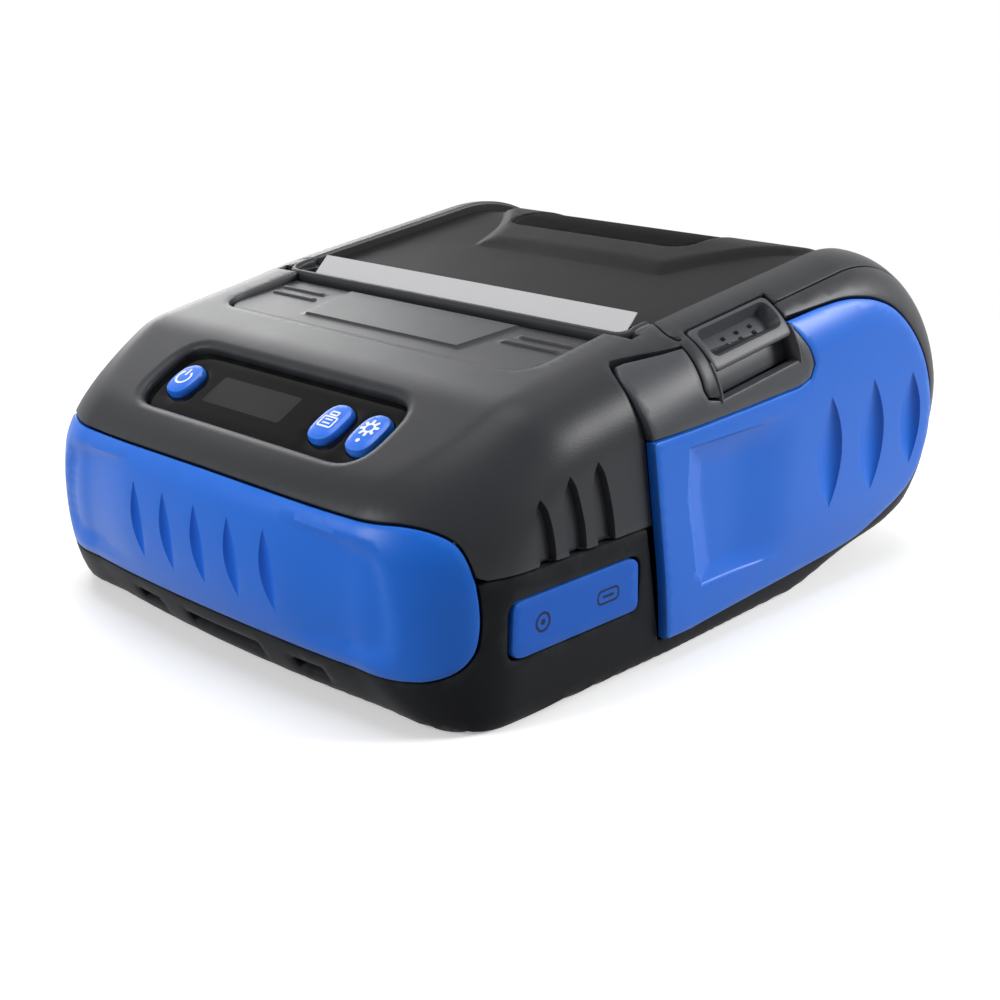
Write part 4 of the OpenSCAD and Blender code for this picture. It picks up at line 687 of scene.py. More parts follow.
@dataclass
class Plate:
    """Closed plate that follows a chart's surface, with rounded rims and relief on its face."""

    name: str
    chart: Chart
    outline: np.ndarray
    holes: list[np.ndarray] = field(default_factory=list)
    rows: list[np.ndarray] = field(default_factory=list)
    relief: Relief | None = None
    pitch: float = 1.3
    thickness: float = 1.5
    rim: float = 0.35
    lift: float = 0.0

    def seeds(self) -> tuple[np.ndarray, np.ndarray]:
        """Points of the map: the loops first, then rim rows, relief rows and a fine grid.

        Returns:
            The points, and the pairs of points that must be joined.
        """
        step = self.pitch * BORDER_STEP
        loops = [resample(loop, step, closed=True) for loop in (self.outline, *self.holes)]
        starts = np.cumsum([0] + [len(loop) for loop in loops])
        joins = np.vstack([np.column_stack([np.arange(a, b), np.roll(np.arange(a, b), -1)])
                           for a, b in zip(starts[:-1], starts[1:])])
        border = np.vstack(loops)
        low, high = border.min(axis=0), border.max(axis=0)
        rows = np.arange(low[1] + self.pitch / 2, high[1], self.pitch * TRIANGLE_STEP)
        columns = np.arange(low[0], high[0], self.pitch)
        u, v = np.meshgrid(columns, rows)
        u = u + (np.arange(len(rows)) % 2)[:, None] * self.pitch / 2
        grid = np.column_stack([u.ravel(), v.ravel()])
        extra = [resample(row, self.pitch * ROW_STEP) for row in self.rows]
        if self.rim > 0:
            extra += [loop + left_of(loop) * share * self.rim for loop in loops for share in RIM_ROWS]
        grid = grid[self.room(grid, loops) > ROW_STEP * self.pitch + self.rim * RIM_ROOM]
        fine = np.vstack(extra) if extra else np.zeros((0, 2))
        if len(fine):
            share, least = FINE_ROOM
            fine = fine[self.room(fine, loops) > share * max(self.rim, least)]
        if len(fine):
            near = KDTree(len(fine))
            for index, spot in enumerate(fine.tolist()):
                near.insert((*spot, 0.0), index)
            near.balance()
            apart = GRID_ROOM * self.pitch
            grid = grid[[near.find((*spot, 0.0))[2] > apart for spot in grid.tolist()]]
        return np.vstack([border, fine, grid]), joins

    @staticmethod
    def room(points: np.ndarray, loops: list[np.ndarray]) -> np.ndarray:
        """Distance to the nearest loop, negative outside the outline or in a hole.

        Args:
            points: Points, one a row.
            loops: Outline first, then any holes.
        Returns:
            One distance a point.
        """
        gap = np.min([segment_distance(points, loop) for loop in loops], axis=0)
        within = inside(points, loops[0])
        for hole in loops[1:]:
            within &= ~inside(points, hole)
        return np.where(within, gap, -gap)

    def build(self) -> bpy.types.Object:
        """Joins the seeds by a constrained Delaunay net, lands them and closes the plate.

        Returns:
            The object, with its place in its mesh.
        """
        seeds, joins = self.seeds()
        uv, _, faces, _, _, _ = delaunay_2d_cdt([Vector(p) for p in seeds.tolist()], joins.tolist(),
                                                [], 0, 1e-5)
        uv = np.array([tuple(p) for p in uv])
        faces = np.array(faces, int)
        loops = [np.asarray(loop, float) for loop in (self.outline, *self.holes)]
        keep = self.room(uv[faces].mean(axis=1), loops) > 0.0
        faces = faces[keep]
        used, faces = np.unique(faces, return_inverse=True)
        uv, faces = uv[used], faces.reshape(-1, 3)
        points, normal, ray = self.chart.place(uv)
        gap = np.maximum(self.room(uv, loops), 0.0)
        drop = np.where(gap < self.rim, self.rim - np.sqrt(np.maximum(
            self.rim**2 - (self.rim - np.minimum(gap, self.rim)) ** 2, 0.0)), 0.0)
        height = self.lift - drop
        if self.relief is not None:
            height = height + self.relief(points, uv)
        face = points + normal * height[:, None]
        back = points + normal * (self.lift - self.thickness)
        corner = face[faces]
        out = np.cross(corner[:, 1] - corner[:, 0], corner[:, 2] - corner[:, 0])
        if (out * ray[faces[:, 0]]).sum() < 0.0:
            faces = faces[:, ::-1]
        pairs = np.vstack([faces[:, [0, 1]], faces[:, [1, 2]], faces[:, [2, 0]]])
        key = pairs[:, 0] * len(uv) + pairs[:, 1]
        rim = pairs[~np.isin(key, pairs[:, 1] * len(uv) + pairs[:, 0])]
        count = len(uv)
        skirt = np.column_stack([rim[:, 1], rim[:, 0], rim[:, 0] + count, rim[:, 1] + count])
        sides = faces.tolist() + (faces[:, ::-1] + count).tolist() + skirt.tolist()
        edge = np.exp(-gap / WEAR_REACH)
        return mesh_piece(self.name, np.vstack([face, back]), sides, np.concatenate([edge, edge * 0.0]))

    def piece(self, finish: "Finish", body: str, slot: str, *nodes: str) -> bpy.types.Object:
        """Builds the plate, gives it a finish and settles it on a body."""
        return settle(finish.dress(self.build()), body, slot, *nodes)


def looped(loop: np.ndarray) -> np.ndarray:
    """Loop with its first point again at its end."""
    return np.vstack([loop, loop[:1]])


def offset_rows(line: np.ndarray, offsets: Sequence[float], closed: bool = False) -> list[np.ndarray]:
    """Copies of a polyline moved sideways, for crisp steps in relief.

    Args:
        line: Polyline in the map.
        offsets: Moves to the left of it.
        closed: Whether the last point joins the first.
    Returns:
        One row of points an offset.
    """
    line = resample(line, 0.8, closed)
    return [line + left_of(line, closed) * by for by in offsets]


def flank_points(dz: np.ndarray, side: Side = Side.RIGHT) -> np.ndarray:
    """Points of a flank at given (d, z)."""
    return FlankChart(CASE, side).place(np.asarray(dz, float))[0]


def top_points(xd: np.ndarray) -> np.ndarray:
    """Points of the top at given (x, d)."""
    return TopChart().place(np.asarray(xd, float))[0]


def front_points(xz: np.ndarray) -> np.ndarray:
    """Points of the front at given (x, z), by rays straight to the front.

    Args:
        xz: Places (x, z) on the front.
    Returns:
        Points on the case.
    """
    xz = np.asarray(xz, float)
    origin = np.column_stack([xz[:, 0], np.full(len(xz), BowChart.axis_d), xz[:, 1]])
    return CASE.land(origin, np.tile([0.0, -1.0, 0.0], (len(xz), 1)))


def girdle(z: float, start: np.ndarray, end: np.ndarray, count: int = 60) -> np.ndarray:
    """Level line round the case between the bearings of two points, by rays from its middle.

    Args:
        z: Height over the flat bottom.
        start: Point at whose bearing the line starts.
        end: Point at whose bearing it ends.
        count: Number of points.
    Returns:
        Points on the case.
    """
    bearing = np.linspace(*(math.atan2(p[0], MIDDLE_D - p[1]) for p in (start, end)), count)
    origin = np.tile([0.0, MIDDLE_D, z], (count, 1))
    direction = np.column_stack([np.sin(bearing), -np.cos(bearing), np.zeros(count)])
    return CASE.land(origin, direction)


def mirror(points: np.ndarray) -> np.ndarray:
    """The same points on the other side, in reverse order."""
    return points[::-1] * np.array([-1.0] + [1.0] * (points.shape[1] - 1))


def grown(loop: np.ndarray, by: float) -> np.ndarray:
    """Closed loop moved outwards along its normals; a negative amount moves it inwards.

    Args:
        loop: Closed loop, one point a row.
        by: Distance in millimetres, inwards when negative.
    Returns:
        The moved loop.
    """
    area = (loop[:, 0] * np.roll(loop[:, 1], -1) - np.roll(loop[:, 0], -1) * loop[:, 1]).sum()
    return loop + left_of(loop) * by * (-1.0 if area > 0 else 1.0)


def sweep(name: str, path: np.ndarray, profile: np.ndarray) -> bpy.types.Object:
    """Closed profile carried along a path: profile x runs square to the path and level, y upwards.

    Args:
        name: Name of the piece.
        path: Points of the path in (x, d, z).
        profile: Points of the closed profile.
    Returns:
        The object, closed at both ends.
    """
    run = unit(np.gradient(path, axis=0))
    across = unit(np.cross(run, [0.0, 0.0, 1.0]))
    up = np.cross(across, run)
    rings = path[:, None] + across[:, None] * profile[None, :, :1] + up[:, None] * profile[None, :, 1:]
    n, m = len(path), len(profile)
    i, j = np.meshgrid(np.arange(n - 1), np.arange(m), indexing="ij")
    k = (j + 1) % m
    quads = np.stack([i * m + j, i * m + k, (i + 1) * m + k, (i + 1) * m + j], axis=-1).reshape(-1, 4)
    centres = np.vstack([path[0], path[-1]])
    last = (n - 1) * m
    caps = [[n * m, (a + 1) % m, a] for a in range(m)]
    caps += [[n * m + 1, last + a, last + (a + 1) % m] for a in range(m)]
    return mesh_piece(name, np.vstack([rings.reshape(-1, 3), centres]), quads.tolist() + caps)


def tray(name: str, grid: np.ndarray, wall: float = 0.6) -> bpy.types.Object:
    """Sheet from a grid of points (rows, columns, 3), given a thickness to the inside.

    Args:
        name: Name of the piece.
        grid: Points of the visible face.
        wall: Thickness of the sheet.
    Returns:
        The object with its Solidify modifier.
    """
    rows, columns = grid.shape[:2]
    i, j = np.meshgrid(np.arange(rows - 1), np.arange(columns - 1), indexing="ij")
    low = i * columns + j
    quads = np.stack([low, low + 1, low + columns + 1, low + columns], -1)
    obj = mesh_piece(name, grid.reshape(-1, 3), quads.reshape(-1, 4).tolist())
    solid = obj.modifiers.new("wall", "SOLIDIFY")
    solid.thickness = wall * MM
    solid.offset = -1.0
    return obj


# ---------------------------------------------------------------- finishes


class Graph:
    """Short way to place and join shader nodes."""

    def __init__(self, tree: bpy.types.NodeTree) -> None:
        """Keeps the tree."""
        self.tree = tree

    def add(self, kind: str, values: dict[str, object] | None = None, **settings: object) -> bpy.types.Node:
        """Places a node.

        Args:
            kind: Type of the node.
            values: Input name to a plain value, or to the output that feeds it.
            settings: Properties of the node.
        Returns:
            The node.
        """
        node = self.tree.nodes.new(kind)
        for key, value in settings.items():
            setattr(node, key, value)
        for key, value in (values or {}).items():
            socket = node.inputs[key]
            if isinstance(value, bpy.types.NodeSocket):
                self.tree.links.new(value, socket)
            else:
                socket.default_value = value
        return node

    def mix(self, factor: object, a: object, b: object) -> bpy.types.NodeSocket:
        """Mixes two colours.

        Args:
            factor: Share of the second colour.
            a: First colour.
            b: Second colour.
        Returns:
            Output that carries the mix.
        """
        node = self.add("ShaderNodeMix", data_type="RGBA")
        for index, value in ((0, factor), (6, a), (7, b)):
            if isinstance(value, bpy.types.NodeSocket):
                self.tree.links.new(value, node.inputs[index])
            else:
                node.inputs[index].default_value = value
        return node.outputs[2]

    def math(self, operation: str, a: object, b: object = 0.0) -> bpy.types.NodeSocket:
        """Joins two numbers by an operation."""
        return self.add("ShaderNodeMath", {0: a, 1: b}, operation=operation).outputs[0]


def new_group(name: str, inputs: dict[str, float],
              outputs: Sequence[str]) -> tuple[Graph, bpy.types.Node, bpy.types.Node]:
    """Node group with number sockets, and nothing between its input and output nodes.

    Args:
        name: Name of the group.
        inputs: Number inputs and their defaults.
        outputs: Names of the outputs.
    Returns:
        Graph of the group, its input node and its output node.
    """
    group = bpy.data.node_groups.new(name, "ShaderNodeTree")
    for key, value in inputs.items():
        socket = group.interface.new_socket(key, in_out="INPUT", socket_type="NodeSocketFloat")
        socket.default_value = value
    for key in outputs:
        group.interface.new_socket(key, in_out="OUTPUT", socket_type="NodeSocketFloat")
    g = Graph(group)
    return g, g.add("NodeGroupInput"), g.add("NodeGroupOutput")


def grain_group() -> bpy.types.NodeTree:
    """Moulded grain: a fine noise for height, and a slow one for uneven tint and gloss.

    Returns:
        The group.
    """
    g, inner, out = new_group("moulded_grain", {"Size": 0.35, "Spread": 9.0}, ["Height", "Mottle"])
    place = g.add("ShaderNodeTexCoord").outputs["Object"]
    small, wide = (g.math("DIVIDE", 1.0 / MM, inner.outputs[key]) for key in ("Size", "Spread"))
    fine = g.add("ShaderNodeTexNoise", {"Vector": place, "Scale": small, "Detail": 3.0, "Roughness": 0.6})
    slow = g.add("ShaderNodeTexNoise", {"Vector": place, "Scale": wide, "Detail": 4.0, "Roughness": 0.55})
    g.tree.links.new(fine.outputs["Fac"], out.inputs["Height"])
    g.tree.links.new(slow.outputs["Fac"], out.inputs["Mottle"])
    return g.tree


def wear_group() -> bpy.types.NodeTree:
    """Edge wear: the nearness to an edge, broken up by noise.

    Returns:
        The group.
    """
    g, inner, out = new_group("edge_wear", {"Amount": 0.5}, ["Mask"])
    near = g.add("ShaderNodeAttribute", attribute_name="edge").outputs["Fac"]
    place = g.add("ShaderNodeTexCoord").outputs["Object"]
    patch = g.add("ShaderNodeTexNoise", {"Vector": place, "Scale": 260.0, "Detail": 5.0})
    broken = g.add("ShaderNodeMapRange", {"Value": patch.outputs["Fac"], "From Min": 0.35, "From Max": 0.7})
    near = g.math("MULTIPLY", near, broken.outputs[0])
    mask = g.math("MULTIPLY", near, inner.outputs["Amount"])
    g.tree.links.new(mask, out.inputs["Mask"])
    return g.tree


def dust_group() -> bpy.types.NodeTree:
    """Dust: faces that look up, times a patchy noise.

    Returns:
        The group.
    """
    g, inner, out = new_group("settled_dust", {"Amount": 0.1}, ["Mask"])
    normal = g.add("ShaderNodeNewGeometry").outputs["Normal"]
    up = g.add("ShaderNodeSeparateXYZ", {"Vector": normal}).outputs["Z"]
    place = g.add("ShaderNodeTexCoord").outputs["Object"]
    patch = g.add("ShaderNodeTexNoise", {"Vector": place, "Scale": 90.0, "Detail": 6.0, "Roughness": 0.65})
    facing = g.add("ShaderNodeMapRange", {"Value": up, "From Min": 0.3, "From Max": 1.0})
    settled = g.math("MULTIPLY", facing.outputs[0], patch.outputs["Fac"])
    mask = g.math("MULTIPLY", settled, inner.outputs["Amount"])
    g.tree.links.new(mask, out.inputs["Mask"])
    return g.tree


GROUPS = {"grain": grain_group(), "wear": wear_group(), "dust": dust_group()}


def shade(r: int, g: int, b: int) -> tuple[float, float, float, float]:
    """Linear colour from 0 to 255 screen values.

    Args:
        r: Red.
        g: Green.
        b: Blue.
    Returns:
        Linear red, green, blue and 1.
    """
    def linear(v: float) -> float:
        """Screen curve undone."""
        return v / 12.92 if v <= 0.04045 else ((v + 0.055) / 1.055) ** 2.4
    return (*(linear(v / 255.0) for v in (r, g, b)), 1.0)


DUST_COLOUR = (190, 188, 184)
DARK_WORN = (80, 82, 86)


@dataclass(frozen=True)
class Finish:
    """Finish of a surface, with grain, uneven tint, worn edges and a trace of dust."""

    name: str
    colour: tuple[int, int, int]
    roughness: float = 0.5
    metallic: float = 0.0
    specular: float = 0.5
    coat: float = 0.0
    coat_gloss: float = 0.08
    grain: float = 0.3
    grain_size: float = 0.35
    mottle: float = 0.12
    gloss_spread: float = 0.03
    wear: float = 0.3
    dust: float = 0.06
    worn: tuple[int, int, int] = (150, 152, 156)
    translucent: float = 0.0

    def material(self) -> bpy.types.Material:
        """Material of this finish, made once.

        Returns:
            The material.
        """
        known = bpy.data.materials.get(self.name)
        if known:
            return known
        made = bpy.data.materials.new(self.name)
        made.use_nodes = True
        made.diffuse_color = shade(*self.colour)
        g = Graph(made.node_tree)
        shader = next(n for n in made.node_tree.nodes if n.type == "BSDF_PRINCIPLED")
        parts = {key: g.add("ShaderNodeGroup", node_tree=tree) for key, tree in GROUPS.items()}
        parts["grain"].inputs["Size"].default_value = self.grain_size
        parts["wear"].inputs["Amount"].default_value = self.wear
        parts["dust"].inputs["Amount"].default_value = self.dust
        mottle = parts["grain"].outputs["Mottle"]
        dark, light = ((*(min(c * share, 1.0) for c in shade(*self.colour)[:3]), 1.0)
                       for share in (1.0 - self.mottle, 1.0 + self.mottle))
        tint = g.mix(mottle, dark, light)
        tint = g.mix(parts["wear"].outputs["Mask"], tint, shade(*self.worn))
        tint = g.mix(parts["dust"].outputs["Mask"], tint, shade(*DUST_COLOUR))
        low, high = self.roughness - self.gloss_spread / 2, self.roughness + self.gloss_spread / 2
        gloss = g.add("ShaderNodeMapRange", {"Value": mottle, "From Min": 0.3, "From Max": 0.7,
                                             "To Min": max(low, 0.02), "To Max": high}).outputs[0]
        bump = g.add("ShaderNodeBump", {"Height": parts["grain"].outputs["Height"], "Strength": self.grain,
                                        "Distance": self.grain_size * 0.2 * MM})
        for key, value in (("Base Color", tint), ("Roughness", gloss), ("Normal", bump.outputs["Normal"])):
            made.node_tree.links.new(value, shader.inputs[key])
        for key, number in (("Metallic", self.metallic), ("Specular IOR Level", self.specular),
                            ("Coat Weight", self.coat), ("Coat Roughness", self.coat_gloss),
                            ("Subsurface Weight", self.translucent), ("Subsurface Scale", 0.5 * MM)):
            shader.inputs[key].default_value = number
        return made

    def dress(self, obj: bpy.types.Object) -> bpy.types.Object:
        """Puts the material on every slot of an object.

        Args:
            obj: The object.
        Returns:
            The same object.
        """
        if not obj.data.materials:
            obj.data.materials.append(self.material())
        for spot in obj.material_slots:
            spot.material = self.material()
        return obj


CASE_GREY = Finish("case_grey", (38, 39, 43), 0.4, specular=0.2, grain=0.35, grain_size=0.3, mottle=0.05,
                   wear=0.25, worn=DARK_WORN, dust=0.012)
TRIM_GREY = replace(CASE_GREY, name="trim_grey", colour=(60, 61, 66), roughness=0.42, specular=0.25)
# Painted shade: the lower shell is the same plastic as the case, given a darker colour and weaker gloss that
# stand in for the shade on it.
LOW_SHELL_PAINTED_SHADE = replace(CASE_GREY, name="low_shell_painted_shade", colour=(25, 26, 29), roughness=0.45, specular=0.06,
                     dust=0.01)
LID_GREY = replace(CASE_GREY, name="lid_grey", colour=(25, 25, 26), roughness=0.5, specular=0.045,
                   grain=0.4, mottle=0.06)
BLUE = Finish("bright_blue", (18, 107, 219), 0.36, specular=0.28, grain=0.18, grain_size=0.25, mottle=0.04,
              wear=0.2, worn=(96, 150, 235), dust=0.01)
DEEP_BLUE = Finish("deep_blue", (18, 92, 194), 0.42, specular=0.2, grain=0.2, grain_size=0.25, mottle=0.05,
                   wear=0.2, worn=(80, 130, 210), dust=0.01)
KEY_BLUE = Finish("key_blue", (26, 112, 232), 0.28, specular=0.4, grain=0.1, grain_size=0.2, mottle=0.03,
                  wear=0.25, worn=(130, 180, 250), dust=0.01)
GLASS_BLACK = Finish("glossy_black", (5, 5, 6), 0.1, specular=0.06, grain=0.02, grain_size=1.5,
                     mottle=0.1, gloss_spread=0.04, wear=0.1, worn=DARK_WORN, dust=0.005)
SCREEN = Finish("dark_screen", (22, 22, 23), 0.3, specular=0.09, grain=0.03, grain_size=0.12, mottle=0.2,
                gloss_spread=0.05, wear=0.0, dust=0.005)
LID_GLASS = Finish("smoked_window", (8, 8, 9), 0.55, specular=0.008, grain=0.03, grain_size=0.8,
                   mottle=0.08, wear=0.15, worn=DARK_WORN, dust=0.01)
ICON_WHITE = Finish("icon_white", (236, 240, 244), 0.45, grain=0.08, mottle=0.03, wear=0.0, dust=0.01)
MARK_BLACK = Finish("mark_black", (10, 22, 52), 0.5, specular=0.2, grain=0.1, mottle=0.08, wear=0.0,
                    dust=0.01)
PAPER = Finish("label_paper", (198, 198, 200), 0.72, specular=0.3, grain=0.35, grain_size=0.12, mottle=0.02,
               wear=0.0, dust=0.02)
CARD = Finish("card_core", (168, 134, 92), 0.85, specular=0.2, grain=0.6, grain_size=0.5, mottle=0.14)
RUBBER = Finish("black_rubber", (26, 26, 27), 0.78, specular=0.2, grain=0.5, grain_size=0.25, mottle=0.1,
                worn=DARK_WORN, dust=0.02)
STEEL = Finish("turned_steel", (176, 178, 182), 0.28, metallic=1.0, grain=0.2, grain_size=0.15, mottle=0.08)
ALUMINIUM = Finish("pressed_aluminium", (196, 198, 202), 0.4, metallic=1.0, grain=0.3, grain_size=0.3,
                   mottle=0.07)
ACETAL = Finish("gear_acetal", (226, 224, 214), 0.42, grain=0.1, mottle=0.04, translucent=0.1)
BOARD = Finish("circuit_board", (18, 84, 48), 0.36, grain=0.3, grain_size=0.6, mottle=0.16, coat=0.2)
CERAMIC = Finish("head_ceramic", (214, 210, 200), 0.3, grain=0.1, grain_size=0.2, mottle=0.05)
INNER_GREY = Finish("inner_grey", (30, 31, 33), 0.6, specular=0.2, grain=0.4, grain_size=0.4, mottle=0.08,
                    worn=DARK_WORN, dust=0.02)


# ---------------------------------------------------------------- case


@dataclass
class Case:
    """Upper and lower shells, blue bumper, cover over the print head and lip of the paper slot."""

    gap: float = 0.13
    seam_z: float = 25.4
    wall: float = 2.2
    band_x: float = 51.5
    band_turn: float = 102.0
    slot_x: float = 43.95
    slot_d: tuple[float, float] = (58.0, 63.4)
    lip_x: float = 45.4
    lip_d: float = 55.9
    cover_x: float = 39.5
    cover_d: tuple[float, float] = (36.6, 55.4)
    cover_y: tuple[float, float] = (-18.8, -0.1)
    cover_r: float = 6.0
    cover_raise: float = 0.45
    rib: tuple[float, float] = (0.7, 0.4)
    window_size: tuple[float, float] = (59.3, 15.6)
    window_r: float = 4.2
    window_play: float = 0.2
    window_bevel: tuple[float, float, float] = (1.7, 0.75, 1.6)
    fin_depth: float = 1.2
    fin_edge: float = 0.25
    lens_pitch: float = 8.82
    lens_spot: tuple[float, float] = (0.95, 21.5)
    lens_size: tuple[float, float] = (1.6, 6.7)
    lens_lean: float = 10.0
    groove: tuple[float, float] = (6.6, 1.3)
    swoosh_depth: float = 1.15
    swoosh_fade: tuple[float, float] = (19.0, 17.0)
    slots: tuple[tuple[float, float], ...] = ((-21.0, 7.0), (0.8, 19.5), (22.6, 7.0))
    slot_z: tuple[float, float] = (3.3, 5.6)
    slot_hollow: tuple[float, float] = (0.9, 0.3)
    door: tuple[float, float, float] = (74.8, 45.8, 40.5)
    screw: tuple[float, float, float] = (46.0, 14.5, 3.1)
    port: tuple[float, float, float, float] = (17.6, 47.9, 11.5, 21.3)
    lever_end: float = 22.4
    lever_zone: tuple[float, float] = (87.6, 50.0)
    fin_zone: tuple[float, float, float] = (50.0, 44.0, 20.0)
    window_zone: tuple[float, float, float] = (36.0, 13.0, 35.0)
    slot_zone: tuple[float, float] = (12.0, 9.0)
    panel_gap: float = 0.2
    pin_x: float = 47.6
    bar: tuple[float, float] = (0.85, 1.35)
    inner_x: float = 52.4
    bumper_half: Sequence[tuple[float, float]] = (
        (0.0, 33.9), (12.0, 33.8), (24.0, 33.6), (34.2, 33.5), (39.6, 33.6), (43.8, 33.7), (47.5, 33.1),
        (50.4, 31.6), (52.1, 29.0), (53.0, 25.5), (53.4, 21.6), (53.4, 17.4), (52.9, 13.8), (51.4, 11.2),
        (48.6, 9.7), (44.7, 9.1), (38.4, 8.9), (27.2, 8.9), (14.2, 9.1), (0.0, 9.2))

    def bumper_loop(self) -> np.ndarray:
        """Outline of the bumper in (x, z), right half then left half."""
        half = curve(self.bumper_half, 6)
        return np.vstack([half[:-1], mirror(half)[:-1]])

    def bumper_edge(self, by: float) -> np.ndarray:
        """Outline of the bumper in space, moved outwards by a gap.

        Args:
            by: Distance in millimetres, inwards when negative.
        Returns:
            Points on the case.
        """
        chart = BowChart()
        loop = chart.flatten(front_points(self.bumper_loop()))
        return chart.place(grown(loop, by))[0]

    def bumper(self) -> bpy.types.Object:
        """Blue bumper with five lens grooves and a swept recess near each end.

        Returns:
            The piece.
        """
        chart = BowChart()
        loop = chart.flatten(self.bumper_edge(-self.gap))
        (x0, z0), size = self.lens_spot, self.lens_size
        lenses = [pointed((x + x0, z0), *size, self.lens_lean, share)
                  for x in self.lens_pitch * np.arange(-2, 3) for share in (1.0, 0.85, 0.55, 0.2)]
        rows = [chart.flatten(front_points(looped(lens))) for lens in lenses]
        for sign in (1, -1):
            for line in (SWOOSH_OUTER, SWOOSH_INNER):
                rows.append(chart.flatten(front_points(curve(line, 10) * [sign, 1.0])))
        plate = Plate("front_bumper_skin", chart, loop, rows=rows, relief=self.bumper_relief, thickness=2.0,
                      rim=0.5, pitch=1.1)
        return plate.piece(BLUE, "base", "blue", "front_bumper")

    def bumper_relief(self, p: np.ndarray, uv: np.ndarray) -> np.ndarray:
        """Grooves as shallow ellipsoids, and a step that deepens between two curves towards each end.

        Args:
            p: Points as rows of (x, d, z).
            uv: Not used; places on the map, one a row.
        Returns:
            Height over the form at each point.
        """
        x, z = p[:, 0], p[:, 2]
        (x0, z0), (rise, deepest) = self.lens_spot, self.groove
        across = x - x0 - (z0 - z) * math.tan(math.radians(self.lens_lean))
        across = across - self.lens_pitch * np.clip(np.round(across / self.lens_pitch), -2, 2)
        lens = deepest * lens_depth(across / self.lens_size[0], (z - z0) / rise)
        side = np.column_stack([np.abs(x), z])
        outer, inner = curve(SWOOSH_OUTER, 6), curve(SWOOSH_INNER, 6)
        far = depth_inside(side, np.vstack([outer, SWOOSH_OUTER_END]))
        near = depth_inside(side, np.vstack([inner, SWOOSH_INNER_END]))
        across_band = np.clip(far / np.maximum(far - np.minimum(near, 0.0), 1e-3), 0.0, 1.0)
        deep = np.where(near > 0.0, 1.0, np.where(far > 0.0, across_band, 0.0))
        start, run = self.swoosh_fade
        return -lens - self.swoosh_depth * deep * ease((np.abs(x) - start) / run)

    def lip_and_cover_line(self) -> np.ndarray:
        """Right half of the opening for slot, lip and cover, from the slot's rear to the middle.

        Returns:
            Points (x, d).
        """
        (front, back), (near, far) = self.cover_d, self.slot_d
        x, edge = self.cover_x + self.gap, front - self.gap
        corner = rounded([(x, back), (x, edge), (0.0, edge)], [0.0, self.cover_r, 0.0])[:-1]
        slot = [(self.slot_x, far), (self.slot_x, near), (self.lip_x, near), (self.lip_x, self.lip_d)]
        return np.vstack([slot, [(x, self.lip_d)], corner[corner[:, 1] < back - 0.5]])

    def band_line(self, x: float, d: float, z: float) -> np.ndarray:
        """Line at constant x from a level on the rear up and forward to a distance from the front.

        Args:
            x: Place across.
            d: Distance from the front at which it ends.
            z: Lowest height that is kept.
        Returns:
            Points on the case.
        """
        chart = WrapChart()
        s = np.linspace(chart.form.rear_r * math.radians(self.band_turn), chart.along(d), 90)
        line = chart.place(np.column_stack([np.full(len(s), x), s]))[0]
        return line[line[:, 2] >= z - SMALL]

    def half_outline(self, latch: bool) -> np.ndarray:
        """Right edge of the upper shell from the bumper to the slot, as points in space.

        Args:
            latch: Whether the lever's side is wanted.
        Returns:
            Points on the case.
        """
        z = self.seam_z + self.gap
        bumper = self.bumper_edge(self.gap)
        bumper = bumper[(bumper[:, 0] > 0) & (bumper[:, 2] > z)]
        fore = (panel_front(z) - self.panel_gap, z)
        seam = girdle(z, bumper[-1], flank_points([fore])[0], 24)[1:]
        front_edge = flank_points(curve([fore, (48.1, 40.4), (46.6, 45.5), (46.3, 48.6)], 8))
        crown = flank_points(curve(TRIM_CROWN, 6))
        parts = [bumper, seam, front_edge[1:], crown]
        if latch:
            lever = ShoulderChart()
            parts.append(flank_points(resample(LEVER_CORNER, 1.0)))
            rim = [(-0.35, lever.radius * math.radians(a)) for a in (80.0, 70.0, 58.0, 46.0, 35.0, 24.4)]
            parts.append(lever.place(np.array(rim))[0])
        else:
            parts.append(flank_points(curve(TRIM_TOP, 6)))
            parts.append(self.rear_part(z))
            nose = curve([(self.band_x + self.gap, 66.2), (51.45, 64.6), (50.9, 63.4)], 6)
            parts.append(top_points(nose)[1:])
        parts.append(top_points(curve(RAIL_FRONT, 5)))
        return np.vstack(parts)

    def rear_part(self, z: float) -> np.ndarray:
        """Edge of the band: behind the blue panel down to the seam, round, and forward beside the lid.

        Args:
            z: Height of the seam's edge.
        Returns:
            Points on the case.
        """
        arc = curve(PANEL_ARC, 6) + [0.0, 0.3]
        arc = arc[arc[:, 1] >= z]
        inner = self.band_line(self.band_x + self.gap, 71.5, z)
        edge = flank_points(arc)
        return np.vstack([edge, girdle(z, edge[-1], inner[0], 24)[1:-1], inner])

